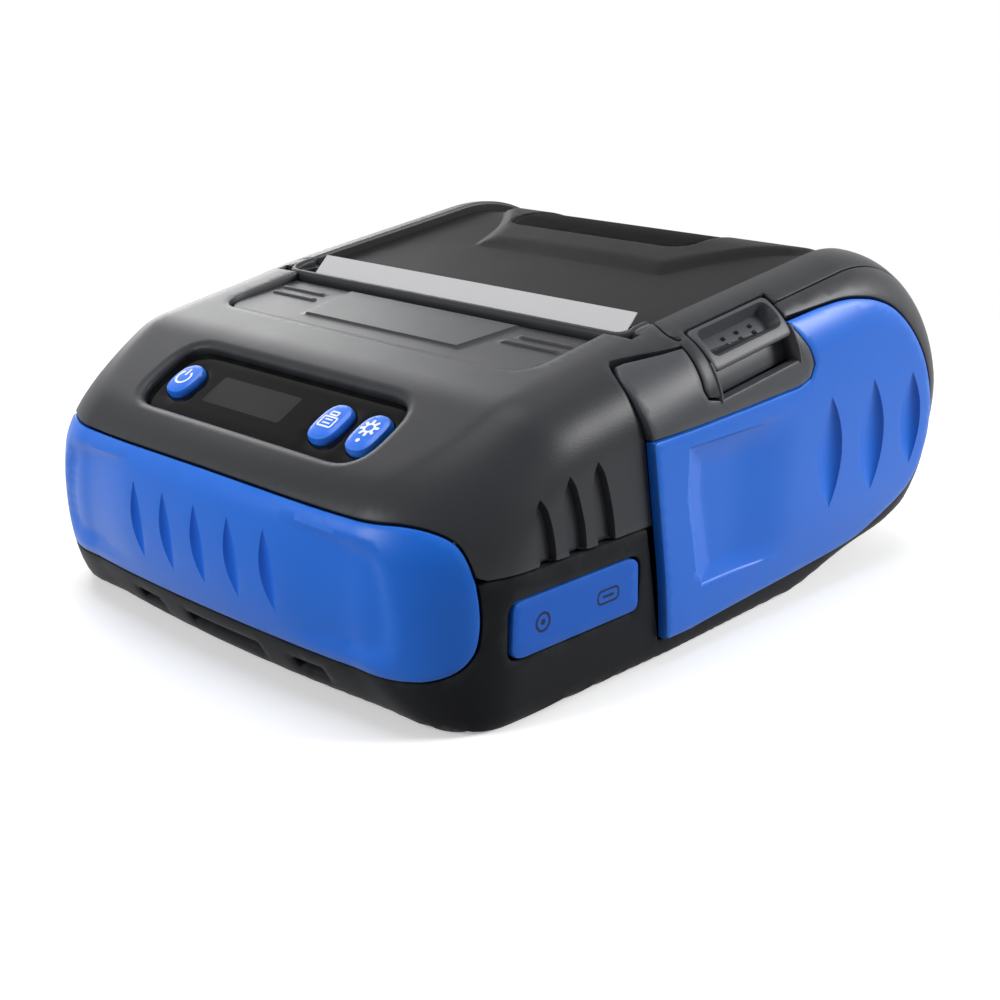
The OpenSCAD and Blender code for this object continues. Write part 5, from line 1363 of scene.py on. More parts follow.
    def upper(self) -> list[bpy.types.Object]:
        """Upper shell with hood, brow and flank fins, and the band behind the lever.

        Returns:
            The shell and the band.
        """
        dome = DomeChart()
        right, left = self.half_outline(True), mirror(self.half_outline(False))
        opening = self.lip_and_cover_line()
        cut = np.vstack([opening[1:], mirror(opening)[1:-1]])
        loop = np.vstack([right, top_points(resample(cut, 1.0)), left])
        plane = PlaneChart()
        w, h = (size + self.window_play for size in self.window_size)
        pane = rounded(box_loop(w, h), self.window_r * 1.5)
        hole = dome.flatten(plane_to_case(pane, plane))
        rows = [looped(dome.flatten(plane_to_case(grown(pane, by), plane)))
                for by in (0.25, 0.6, 1.0, 1.5, 2.0)]
        for side in Side:
            for fin in FINS:
                rows += [dome.flatten(flank_points(row, side))
                         for row in offset_rows(fin_line(fin), (-0.2, 0.0, 0.2))]
        plate = Plate("upper_shell", dome, dome.flatten(loop), [hole[::-1]], rows, self.upper_relief,
                      thickness=self.wall, rim=0.3, pitch=1.2)
        shell = plate.piece(CASE_GREY, "base", "shell", "upper_housing")
        rear = self.rear_part(self.seam_z + self.gap)
        lever = ShoulderChart()
        ends = [(self.lever_end, lever.radius * math.radians(a)) for a in (36.5, 44.0, 50.0)]
        rear = rear[~((rear[:, 1] < self.lever_zone[0]) & (rear[:, 2] > self.lever_zone[1]))]
        loop = dome.flatten(np.vstack([rear, lever.place(np.array(ends))[0]]))
        band = Plate("upper_band", dome, loop, thickness=self.wall, rim=0.3)
        return [shell, band.piece(CASE_GREY, "base", "shell", "upper_housing")]

    def upper_relief(self, p: np.ndarray, uv: np.ndarray) -> np.ndarray:
        """Chamfer round the display, and fins sunk into the flanks by a narrow step.

        Args:
            p: Points as rows of (x, d, z).
            uv: Not used; places on the map, one a row.
        Returns:
            Height over the form at each point.
        """
        depth = np.zeros(len(p))
        beside, under, foot = self.fin_zone
        flank = (np.abs(p[:, 0]) > beside) & (p[:, 2] < under)
        for fin in FINS:
            loop = np.vstack([fin_line(fin), [[fin[-1][0], foot], [fin[0][0], foot]]])
            gap = depth_inside(p[flank][:, 1:], loop)
            depth[flank] = np.minimum(depth[flank], -self.fin_depth * ease(gap / self.fin_edge + 0.5))
        plane = PlaneChart()
        a = math.radians(plane.slope)
        y = (p[:, 1] - plane.point[0]) * math.cos(a) + (p[:, 2] - plane.point[1]) * math.sin(a)
        wide, tall, over = self.window_zone
        near = (np.abs(p[:, 0]) < wide) & (np.abs(y) < tall) & (p[:, 2] > over)
        pane = rounded(box_loop(*self.window_size), self.window_r * 1.5)
        gap = -depth_inside(np.column_stack([p[near, 0], y[near]]), pane)
        width, deepest, power = self.window_bevel
        depth[near] -= deepest * np.clip(1.0 - gap / width, 0.0, 1.0) ** power
        return depth

    def lower(self) -> bpy.types.Object:
        """Lower shell with the mouths of its slots, ports, door and screws.

        Returns:
            The piece.
        """
        dome = DomeChart(centre=(0.0, MIDDLE_D, 26.0), pole=-1.0)
        z = self.seam_z - self.gap
        bumper = self.bumper_edge(self.gap)
        bumper = bumper[(bumper[:, 0] > 0) & (bumper[:, 2] < z)][::-1]
        panel = curve(PANEL_LOWER, 6)
        fore = flank_points([(panel_front(z) - self.panel_gap, z)])
        under = flank_points(panel[panel[:, 1] < z])
        rear = self.band_line(self.band_x + self.gap, 120.0, z)[:1]
        half, s = REAR_LIP
        lip = WrapChart().place(np.column_stack([np.linspace(half, 0.0, 40), np.full(40, s)]))[0]
        half = np.vstack([bumper, girdle(z, bumper[-1], fore[0], 24)[1:-1], under,
                          girdle(z, under[-1], rear[0], 20)[1:], lip])
        w, h, d = self.door
        holes = [self.on_bottom(box_loop(w, h) + [0, d], dome, 1.0)]
        x, d, r = self.screw
        holes += [self.on_bottom(ring((spot, d), r, r, 28), dome) for spot in (x, -x)]
        port = grown(rounded(span_loop(*self.port), 2.4), 0.15)
        holes.append(dome.flatten(flank_points(resample(port, 1.0, closed=True))))
        for x, w in self.slots:
            slot = rounded(span_loop(x - w / 2, x + w / 2, *self.slot_z), 0.5, 3)
            holes.append(dome.flatten(front_points(resample(slot, 1.0, closed=True))))
        loop = dome.flatten(np.vstack([half[:-1], mirror(half)]))
        plate = Plate("lower_shell", dome, loop, holes, relief=self.lower_relief, thickness=self.wall,
                      rim=0.3, pitch=1.6)
        # The darker copy of the case grey paints in the shade on the lower shell.
        return plate.piece(LOW_SHELL_PAINTED_SHADE, "base", "shell", "lower_housing")

    def on_bottom(self, xd: np.ndarray, dome: DomeChart, r: float = 0.0) -> np.ndarray:
        """Loop on the flat bottom as seen in the dome map."""
        loop = resample(rounded(xd, r) if r else xd, 1.2, closed=True)
        return dome.flatten(np.column_stack([loop, np.zeros(len(loop))]))

    def lower_relief(self, p: np.ndarray, uv: np.ndarray) -> np.ndarray:
        """Slight hollow round the front slots.

        Args:
            p: Points as rows of (x, d, z).
            uv: Not used; places on the map, one a row.
        Returns:
            Height over the form at each point.
        """
        ahead = (p[:, 1] < self.slot_zone[0]) & (p[:, 2] < self.slot_zone[1])
        hollow = np.zeros(len(p))
        (low, high), (width, deepest) = self.slot_z, self.slot_hollow
        above = np.maximum(np.abs(p[:, 2] - (low + high) / 2) - (high - low) / 2, 0.0)
        for x, w in self.slots:
            off = np.hypot(np.maximum(np.abs(p[:, 0] - x) - w / 2, 0.0), above)
            hollow = np.where(ahead, np.minimum(hollow, -deepest * ease(1.0 - off / width)), hollow)
        return hollow

    def hinge_pin(self) -> bpy.types.Object:
        """Hinge pin as a turned rod with chamfered ends, clear of the rounded corners.

        Returns:
            The piece.
        """
        low, high = (np.array(corner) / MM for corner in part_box("hinge_pin"))
        r, d, z = (high[2] - low[2]) / 2, (high[1] + low[1]) / 2 + HALF_LENGTH, (high[2] + low[2]) / 2
        path = np.array([(x, d, z) for x in (-self.pin_x, 0.0, self.pin_x)])
        rod = sweep("pin_rod", path, ring((0.0, 0.0), r, r, 32))
        bevel = rod.modifiers.new("chamfer", "BEVEL")
        bevel.width, bevel.segments, bevel.limit_method = 0.2 * MM, 2, "ANGLE"
        return settle(STEEL.dress(rod), "base", "steel", "hinge_pin")

    def inner_walls(self) -> list[bpy.types.Object]:
        """Plain walls inside the flanks, beside the roll.

        Returns:
            One piece a side.
        """
        arc = curve(PANEL_ARC, 5)
        arc = arc[arc[:, 1] > 12.0] - [0.6, 1.6]
        loop = np.vstack([[(50.0, 12.0), (50.0, 49.0), (62.0, 50.4), (86.0, 52.4)], arc])
        made = []
        for side in Side:
            chart = SheetChart(x=self.inner_x * side.value, side=side)
            plate = Plate("inner_wall_" + side.name.lower(), chart, loop, thickness=0.8, rim=0.0, pitch=4.0)
            made.append(plate.piece(CASE_GREY, "base", "shell"))
        return made

    def cover(self) -> bpy.types.Object:
        """Cover plate with a raised middle and short ribs at both ends.

        Returns:
            The piece.
        """
        chart = PlaneChart(point=(55.4, 52.63), slope=8.0)
        x, (low, high) = self.cover_x - 2 * self.gap, self.cover_y
        loop = rounded(span_loop(-x, x, low + 2 * self.gap, high), [self.cover_r, self.cover_r, 0.3, 0.3])
        rows = [looped(row) for row in offset_rows(COVER_RAISED, (-0.5, -0.1, 0.3), closed=True)]
        for line in COVER_RIBS:
            rows += offset_rows(line, (-0.7, -0.35, 0.0, 0.35, 0.7))
        plate = Plate("print_cover", chart, loop, rows=rows, relief=self.cover_relief, thickness=1.6, rim=0.4,
                      pitch=1.0)
        return plate.piece(CASE_GREY, "base", "shell", "front_cover")

    def cover_relief(self, p: np.ndarray, uv: np.ndarray) -> np.ndarray:
        """Raised middle with a step 0.6 mm wide, and ribs of round section.

        Args:
            p: Not used; points as rows of (x, d, z).
            uv: Places on the map, one a row.
        Returns:
            Height over the form at each point.
        """
        height = self.cover_raise * ease(depth_inside(uv, COVER_RAISED) / 0.6 + 0.5)
        half, rise = self.rib
        for line in COVER_RIBS:
            off = segment_distance(uv, line, closed=False)
            height = np.maximum(height, rise * np.sqrt(np.clip(1.0 - (off / half) ** 2, 0.0, 1.0)))
        return height

    def lip(self) -> bpy.types.Object:
        """Lip before the slot: a round bar across, turned back at both ends.

        Returns:
            The piece.
        """
        half = curve([(0.0, 56.95, 53.0), (20.0, 56.95, 53.0), (38.0, 56.95, 53.0), (41.6, 57.2, 53.05),
                      (43.0, 58.4, 53.35), (43.15, 60.0, 53.9), (43.15, 62.6, 54.3)], 6)
        path = np.vstack([mirror(half), half[1:]])
        t = np.linspace(0.0, 2 * np.pi, 24, endpoint=False)
        half, rise = self.bar
        profile = np.column_stack([half * np.cos(t), rise * np.sign(np.sin(t)) * np.abs(np.sin(t)) ** 0.7])
        bar = sweep("slot_lip", path, profile)
        return settle(CASE_GREY.dress(bar), "base", "shell", "tear_bar")


def settle(obj: bpy.types.Object, body: str, slot: str, *nodes: str) -> bpy.types.Object:
    """Rides a piece on its body, and hides any CAD nodes that it stands for.

    Args:
        obj: The piece.
        body: Body that it rides on.
        slot: Not used; material slot of the record.
        nodes: CAD nodes that it stands for.
    Returns:
        The same piece.
    """
    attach(obj, body)
    if nodes:
        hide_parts(*nodes)
    return obj


def span_loop(x0: float, x1: float, y0: float, y1: float) -> np.ndarray:
    """Corners of a rectangle from x0 to x1 and from y0 to y1."""
    return np.array([(x0, y0), (x1, y0), (x1, y1), (x0, y1)])


def box_loop(w: float, h: float) -> np.ndarray:
    """Corners of a rectangle about the origin."""
    return span_loop(-w / 2, w / 2, -h / 2, h / 2)


def plane_to_case(xy: np.ndarray, chart: PlaneChart) -> np.ndarray:
    """Points of the case straight out from points of a plane, by rays along its normal."""
    points, normal, _ = chart.place(resample(xy, 1.0, closed=True))
    return CASE.land(points - normal * 6.0, normal)


def fin_line(fin: Sequence[tuple[float, float]]) -> np.ndarray:
    """Outline of a fin: one curve up to its tip and one down from it, so that the tip stays sharp."""
    tip = max(range(len(fin)), key=lambda k: fin[k][1])
    return np.vstack([curve(fin[: tip + 1], 4)[:-1], curve(fin[tip:], 4)])


def panel_front(z: float) -> float:
    """How far the panel's front edge lies from the front at a height."""
    (low_d, low_z), (high_d, high_z) = PANEL_FRONT
    return high_d + (high_z - z) * (low_d - high_d) / (high_z - low_z)


# Tables of points in mm: (x, z) on the front, (d, z) on the right flank, (x, d) seen from above.
PANEL_FRONT = ((54.7, 4.2), (48.4, 40.3))
SWOOSH_OUTER = [(19.0, 31.3), (26.2, 30.9), (32.4, 30.6), (38.2, 30.7), (40.9, 30.0), (42.5, 27.8),
                (43.6, 24.9), (44.9, 19.3), (44.7, 15.0), (43.0, 11.8), (39.3, 11.1), (34.3, 11.2),
                (25.1, 11.5)]
SWOOSH_INNER = [(20.5, 31.1), (23.0, 30.8), (29.5, 29.8), (35.7, 28.6), (39.3, 27.6), (40.9, 25.8),
                (41.8, 21.5), (41.9, 16.9), (40.8, 14.3), (36.9, 13.2), (28.7, 12.7)]
SWOOSH_OUTER_END = [(16.0, 11.6), (16.0, 31.2)]
SWOOSH_INNER_END = [(17.0, 12.8), (17.0, 30.8)]
FINS = [[(27.5, 25.0), (27.1, 28.0), (26.4, 31.0), (25.3, 34.0), (24.1, 35.9), (23.2, 34.2),
         (23.0, 32.0), (23.4, 29.5), (24.3, 25.0)],
        [(34.5, 25.0), (34.0, 29.0), (33.2, 32.0), (31.8, 36.0), (30.4, 38.2), (29.4, 36.0),
         (29.2, 33.0), (29.8, 29.5), (30.9, 25.0)],
        [(41.4, 25.0), (40.8, 29.0), (39.9, 32.5), (38.4, 36.8), (36.8, 39.2), (36.0, 37.0),
         (35.9, 34.0), (36.6, 30.0), (37.7, 25.0)]]
TRIM_CROWN = [(46.3, 49.6), (46.7, 50.9), (47.8, 51.85), (49.8, 52.15), (57.7, 52.65), (61.9, 52.95)]
TRIM_TOP = [(64.0, 53.15), (70.0, 53.6), (80.0, 54.0), (87.0, 54.35)]
LEVER_CORNER = [(62.0, 52.75), (62.0, 46.2), (62.8, 44.9), (65.5, 44.5)]
RAIL_FRONT = [(50.55, 62.5), (50.0, 61.7), (48.7, 61.35), (47.4, 61.55), (46.3, 61.95), (45.2, 62.5),
              (43.95, 63.0)]
PANEL_ARC = [(86.9, 54.0), (95.7, 54.7), (103.3, 55.2), (108.6, 54.9), (114.2, 53.8), (120.3, 51.2),
             (126.8, 46.2), (132.0, 40.1), (135.4, 33.0), (136.1, 27.4), (134.6, 21.4), (129.6, 14.6),
             (120.4, 9.6), (110.8, 7.0)]
PANEL_LOWER = [(54.6, 4.0), (60.9, 3.9), (76.3, 4.9), (92.9, 5.6), (110.8, 6.7), (120.6, 9.2),
               (130.0, 14.3), (135.0, 21.2), (136.3, 26.0)]
# The cover's own (x, y), along its slope from its rear edge.
COVER_RAISED = np.array([(-19.7, -14.2), (19.7, -14.2), (21.9, -0.9), (-21.9, -0.9)])
COVER_RIBS = [np.array(line) for line in
              ([(25.0, -7.6), (36.6, -7.6)], [(26.0, -4.6), (37.2, -4.6)], [(-25.0, -7.6), (-36.6, -7.6)],
               [(-26.0, -4.6), (-37.2, -4.6)])]
# The lower shell's upper edge at the rear: half its width, and its place on the wrap map.
REAR_LIP = (51.2, 56.2)


# ---------------------------------------------------------------- sides


# Outlines of the panel and its trim as (d, z), and of the pocket with the widths of its bevel.
PANEL = [(54.7, 4.4), (51.6, 22.3), (48.5, 40.2), (58.4, 40.4), (73.1, 41.1), (88.9, 42.0), (92.2, 43.1),
         (93.2, 45.5), (91.5, 48.6), (87.2, 53.7)]
PANEL_REST = PANEL_ARC[1:12] + [(119.6, 9.9), (110.8, 7.3), (92.9, 6.0), (76.3, 5.2), (61.5, 4.4)]
TRIM = [(48.4, 40.6), (46.95, 45.5), (46.6, 48.6), (46.6, 49.5), (46.95, 50.6), (47.9, 51.5), (49.8, 51.8),
        (57.7, 52.35), (61.7, 52.7)]
TRIM_FOOT = [(87.6, 53.3), (91.3, 48.6), (92.9, 45.5), (92.0, 43.3), (88.9, 42.3), (73.1, 41.4),
             (58.4, 40.7)]
POCKET_OUTER = np.array([(88.0, 37.6), (57.6, 37.6), (57.6, 28.8), (60.7, 16.2), (62.8, 12.0), (88.0, 12.0)])
POCKET_INNER = np.array([(88.0, 33.1), (62.9, 33.1), (62.9, 28.8), (66.0, 16.2), (66.4, 15.2), (88.0, 15.2)])
POCKET_BEVEL = (5.3, 3.2, 4.5)
POCKET_FRONT = ((12.4, 16.2, 28.8, 38.0), (62.8, 60.7, 57.6, 57.6))
POCKET_STEP = (0.25, 0.06)


@dataclass
class SideParts:
    """Blue side panel with its pocket and three lens grooves, and the grey trim above it."""

    thickness: float = 1.85
    pocket: float = 1.5
    groove: float = 1.5
    pocket_fade: tuple[float, float] = (70.0, 20.0)
    lenses: Sequence[tuple[float, float, float, float, float]] = (
        (100.0, 27.8, 3.9, 10.8, 4.0), (114.1, 28.3, 4.1, 11.0, 4.0), (127.9, 28.9, 3.6, 9.4, 4.0))

    def panel(self, side: Side) -> bpy.types.Object:
        """Panel of one side.

        Args:
            side: Flank that it belongs to.
        Returns:
            The piece.
        """
        loop = np.vstack([resample(np.array(PANEL), 3.0), curve(PANEL_REST, 5)])
        rows = [looped(pointed((d, z), a, b, turn, share)) for d, z, a, b, turn in self.lenses
                for share in (1.0, 0.9, 0.75, 0.5, 0.2)]
        rows += offset_rows(POCKET_OUTER, (-0.05, 0.15, 0.38)) + offset_rows(POCKET_INNER, (-0.15, 0.15))
        rows += [np.array([POCKET_OUTER[k], POCKET_INNER[k]]) for k in (1, 4)]
        plate = Plate("panel_skin_" + side.name.lower(), FlankChart(PROUD, side), loop, rows=rows,
                      relief=self.relief, thickness=self.thickness, rim=0.55, pitch=1.15)
        return plate.piece(BLUE, "base", "blue", "side_panel_" + side.name.lower())

    def relief(self, p: np.ndarray, uv: np.ndarray) -> np.ndarray:
        """Pocket that deepens from three edges and fades to the rear, and grooves as ellipsoids.

        Args:
            p: Not used; points as rows of (x, d, z).
            uv: Places on the map, one a row.
        Returns:
            Height over the form at each point.
        """
        d, z = uv[:, 0], uv[:, 1]
        left = d - np.interp(z, *POCKET_FRONT)
        (ahead, below, above), low, high = POCKET_BEVEL, POCKET_OUTER[-1, 1], POCKET_OUTER[0, 1]
        share = np.minimum(np.minimum(left / ahead, (z - low) / below), (high - z) / above)
        first, width = POCKET_STEP
        ramp = first * ease(share / width) + (1.0 - first) * np.clip(share, 0.0, 1.0)
        start, run = self.pocket_fade
        height = -self.pocket * ramp * (1.0 - ease((d - start) / run))
        for cd, cz, a, b, turn in self.lenses:
            t = math.radians(turn)
            u = ((d - cd) * math.cos(t) + (z - cz) * math.sin(t)) / a
            v = ((z - cz) * math.cos(t) - (d - cd) * math.sin(t)) / b
            height -= self.groove * lens_depth(u, v)
        return height

    def trim(self, side: Side) -> bpy.types.Object:
        """Trim of one side; the right one leaves the lever free.

        Args:
            side: Flank that it belongs to.
        Returns:
            The piece.
        """
        if side is Side.RIGHT:
            top = [(61.75, 46.2), (62.6, 44.6), (65.8, 43.95), (88.5, 47.15), (87.5, 53.1)]
        else:
            top = [(64.0, 52.85), (70.0, 53.3), (80.0, 53.7), (87.0, 53.9)]
        loop = np.array(TRIM + top + TRIM_FOOT)
        plate = Plate("trim_skin_" + side.name.lower(), FlankChart(PROUD, side), loop,
                      thickness=self.thickness, rim=0.35, pitch=1.2)
        return plate.piece(TRIM_GREY, "base", "shell", "side_trim_" + side.name.lower())


# ---------------------------------------------------------------- lid and lever


@dataclass
class Lid:
    """Lid with raised rails, sunk middle, pad and smoked window."""

    half: float = 51.5
    rail_x: float = 43.8
    seam: float = 0.1
    sunk: float = 2.2
    sunk_edge: tuple[float, float] = (0.4, 0.9)
    front_d: float = 64.4
    front_gap: float = 0.25
    rear_s: float = 55.4
    notch_x: float = 49.25
    notch_d: tuple[float, float] = (64.3, 87.3)
    pad_rise: float = 1.5
    pad_front: float = 88.3
    pad_ramp: tuple[float, float, float] = (2.6, 5.4, 24.0)
    pad_fade: tuple[float, float] = (1.4, 30.0)
    pane_drop: float = 0.25
    window_r: float = 5.5
    window: tuple[float, float, float, float] = (-28.0, 19.8, 102.4, 135.8)

    def to_map(self, xd: Sequence[Sequence[float]]) -> np.ndarray:
        """Points (x, d) of the crest as (x, s) of the wrap map."""
        chart = WrapChart()
        return np.array([(x, chart.along(d)) for x, d in xd])

    def window_loop(self) -> np.ndarray:
        """Rounded outline of the window in the wrap map."""
        return rounded(self.to_map(span_loop(*self.window)), self.window_r, 5)

    def pad_loop(self) -> np.ndarray:
        """Outline of the pad: a tongue in front that widens to the rear.

        Returns:
            Points of the loop on the map.
        """
        right = [(24.5, self.pad_front), (26.0, 91.0), (29.5, 100.3), (34.0, 107.5), (38.6, 112.9)]
        rear = [[40.0, WrapChart().along(118.0)], [40.2, self.rear_s - 6.0]]
        right = np.vstack([curve(self.to_map(right), 5), rear])
        return np.vstack([right, mirror(right)])

    def shell(self) -> bpy.types.Object:
        """Lid shell as one plate over the wrap map.

        Returns:
            The piece.
        """
        foot = [(x, d + self.front_gap) for x, d in RAIL_FRONT[::-1]]
        front = self.to_map([(0.0, self.front_d), (self.rail_x, self.front_d), *foot[:-2]])
        side = self.to_map([*foot[-2:], (50.75, 63.6), (51.3, 64.8), (self.half, 66.4)])
        notch = self.to_map([(50.0, 62.1), (50.35, 63.0), (50.4, 64.2), (self.notch_x, 64.6),
                             (self.notch_x, self.notch_d[1]), (self.half, self.notch_d[1])])
        rear = np.array([[self.half, self.rear_s]])
        right, left = np.vstack([front, notch, rear]), np.vstack([front, side, rear])
        loop = np.vstack([right, mirror(left)[:-1]])
        pad, pane = self.pad_loop(), self.window_loop()
        start = WrapChart().along(self.front_d)
        lines = [np.array([[sign * (self.rail_x + x), start], [sign * (self.rail_x + x), self.rear_s]])
                 for sign in (1, -1) for x in (0.45, self.seam, -0.3, -0.7)]
        lines += offset_rows(pad, (-0.3, 0.3, 1.6, 3.0), closed=True)
        lines += [looped(grown(pane, by)) for by in (0.5, 1.0)]
        plate = Plate("lid_skin", WrapChart(), loop, [pane[::-1]], lines, self.relief, pitch=1.5,
                      thickness=2.0, rim=0.35)
        skin = LID_GREY.dress(plate.build())
        skin.data.materials.append(CASE_GREY.material())
        centres = np.empty(len(skin.data.polygons) * 3)
        skin.data.polygons.foreach_get("center", centres)
        rails = np.abs(centres.reshape(-1, 3)[:, 0]) > (self.rail_x + self.seam) * MM
        skin.data.polygons.foreach_set("material_index", rails.astype(np.int32))
        return settle(skin, "lid_shell", "dark", "lid")

    def relief(self, p: np.ndarray, uv: np.ndarray) -> np.ndarray:
        """Middle sunk between the rails, with a pad whose ramp is long in front and short at its sides.

        Args:
            p: Not used; points as rows of (x, d, z).
            uv: Places on the map, one a row.
        Returns:
            Height over the form at each point.
        """
        x, s = np.abs(uv[:, 0]), uv[:, 1]
        over, width = self.sunk_edge
        sunk = -self.sunk * ease((self.rail_x + over - x) / width)
        gap = depth_inside(uv, self.pad_loop())
        front = WrapChart().along(self.pad_front)
        (short, more, run), (full, half) = self.pad_ramp, self.pad_fade
        ahead = np.clip(1.0 - (s - front) / run, 0.0, 1.0) * np.clip(full - x / half, 0.0, 1.0)
        return sunk + self.pad_rise * ease(gap / (short + more * ahead)) * (gap > 0)

    def pane(self) -> bpy.types.Object:
        """Window in the lid, set a little below the pad.

        Returns:
            The piece.
        """
        loop = grown(self.window_loop(), -0.12)
        plate = Plate("lid_pane", WrapChart(), loop, lift=self.pad_rise - self.sunk - self.pane_drop,
                      thickness=0.8, rim=0.3, pitch=1.8)
        return plate.piece(LID_GLASS, "lid_shell", "window", "lid_window")


@dataclass
class Latch:
    """Lever on the right shoulder, and the well that it turns in."""

    chart: ShoulderChart = ShoulderChart()
    length: float = 22.0
    start: float = 25.2
    end: float = 64.0
    pocket: tuple[float, float] = (30.0, 53.5)
    pocket_y: tuple[float, float] = (1.5, 20.7)
    depth: float = 2.3
    pocket_wall: tuple[float, float] = (0.8, 0.3)
    dot: tuple[float, float] = (0.5, 0.6)
    dot_rows: tuple[float, float] = (40.5, 47.5)
    well_arc: tuple[float, float] = (56.0, 87.0)
    well_section: tuple[tuple[float, float], ...] = ((-0.5, 13.1), (-0.45, 9.4), (22.6, 9.4), (22.65, 13.1))

    def arc(self, degrees: float) -> float:
        """Arc length of an angle off upright."""
        return self.chart.radius * math.radians(degrees)

    def lever(self) -> bpy.types.Object:
        """Lever skin with a finger pocket that holds seven grip dots.

        Returns:
            The piece.
        """
        a, b = self.arc(self.start), self.arc(self.end)
        loop = rounded(span_loop(0.0, self.length, a, b), 1.2, 4)
        inner = self.pocket_loop()
        rows = [looped(grown(inner, by)) for by in (0.2, -0.25, -0.7)]
        for spot in self.dots():
            rows += [looped(ring(spot, r, r, 16)) for r in (0.5, 0.38, 0.2)]
        plate = Plate("lever_skin", self.chart, loop, rows=rows, relief=self.relief, thickness=3.2, rim=0.5,
                      pitch=0.55)
        return plate.piece(TRIM_GREY, "latch", "shell", "latch_lever")

    def pocket_loop(self) -> np.ndarray:
        """Outline of the finger pocket."""
        return rounded(span_loop(*self.pocket_y, *(self.arc(v) for v in self.pocket)), 1.6, 4)

    def dots(self) -> list[tuple[float, float]]:
        """Places of the grip dots: one alone, then three pairs."""
        low, high = (self.arc(v) for v in self.dot_rows)
        return [(4.6, high)] + [(y, s) for y in (8.4, 12.2, 16.0) for s in (low, high)]

    def relief(self, p: np.ndarray, uv: np.ndarray) -> np.ndarray:
        """Pocket with rounded walls, and domes on its floor.

        Args:
            p: Not used; points as rows of (x, d, z).
            uv: Places on the map, one a row.
        Returns:
            Height over the form at each point.
        """
        width, start = self.pocket_wall
        height = -self.depth * ease(depth_inside(uv, self.pocket_loop()) / width + start)
        for spot in self.dots():
            off = np.hypot(*(uv - spot).T)
            height += self.dot[1] * np.sqrt(np.clip(1.0 - (off / self.dot[0]) ** 2, 0.0, 1.0))
        return height

    def well(self) -> bpy.types.Object:
        """Floor of the well below the lever, with its two end walls.

        Returns:
            The piece.
        """
        phi = np.radians(np.linspace(*self.well_arc, 26))
        rows = []
        for y, r in self.well_section:
            place = np.column_stack([np.full(len(phi), y), phi * r])
            rows.append(ShoulderChart(radius=r).place(place)[0])
        obj = tray("lever_well", np.array(rows).transpose(1, 0, 2), 0.5)
        return settle(TRIM_GREY.dress(obj), "base", "shell")


# ---------------------------------------------------------------- front panel


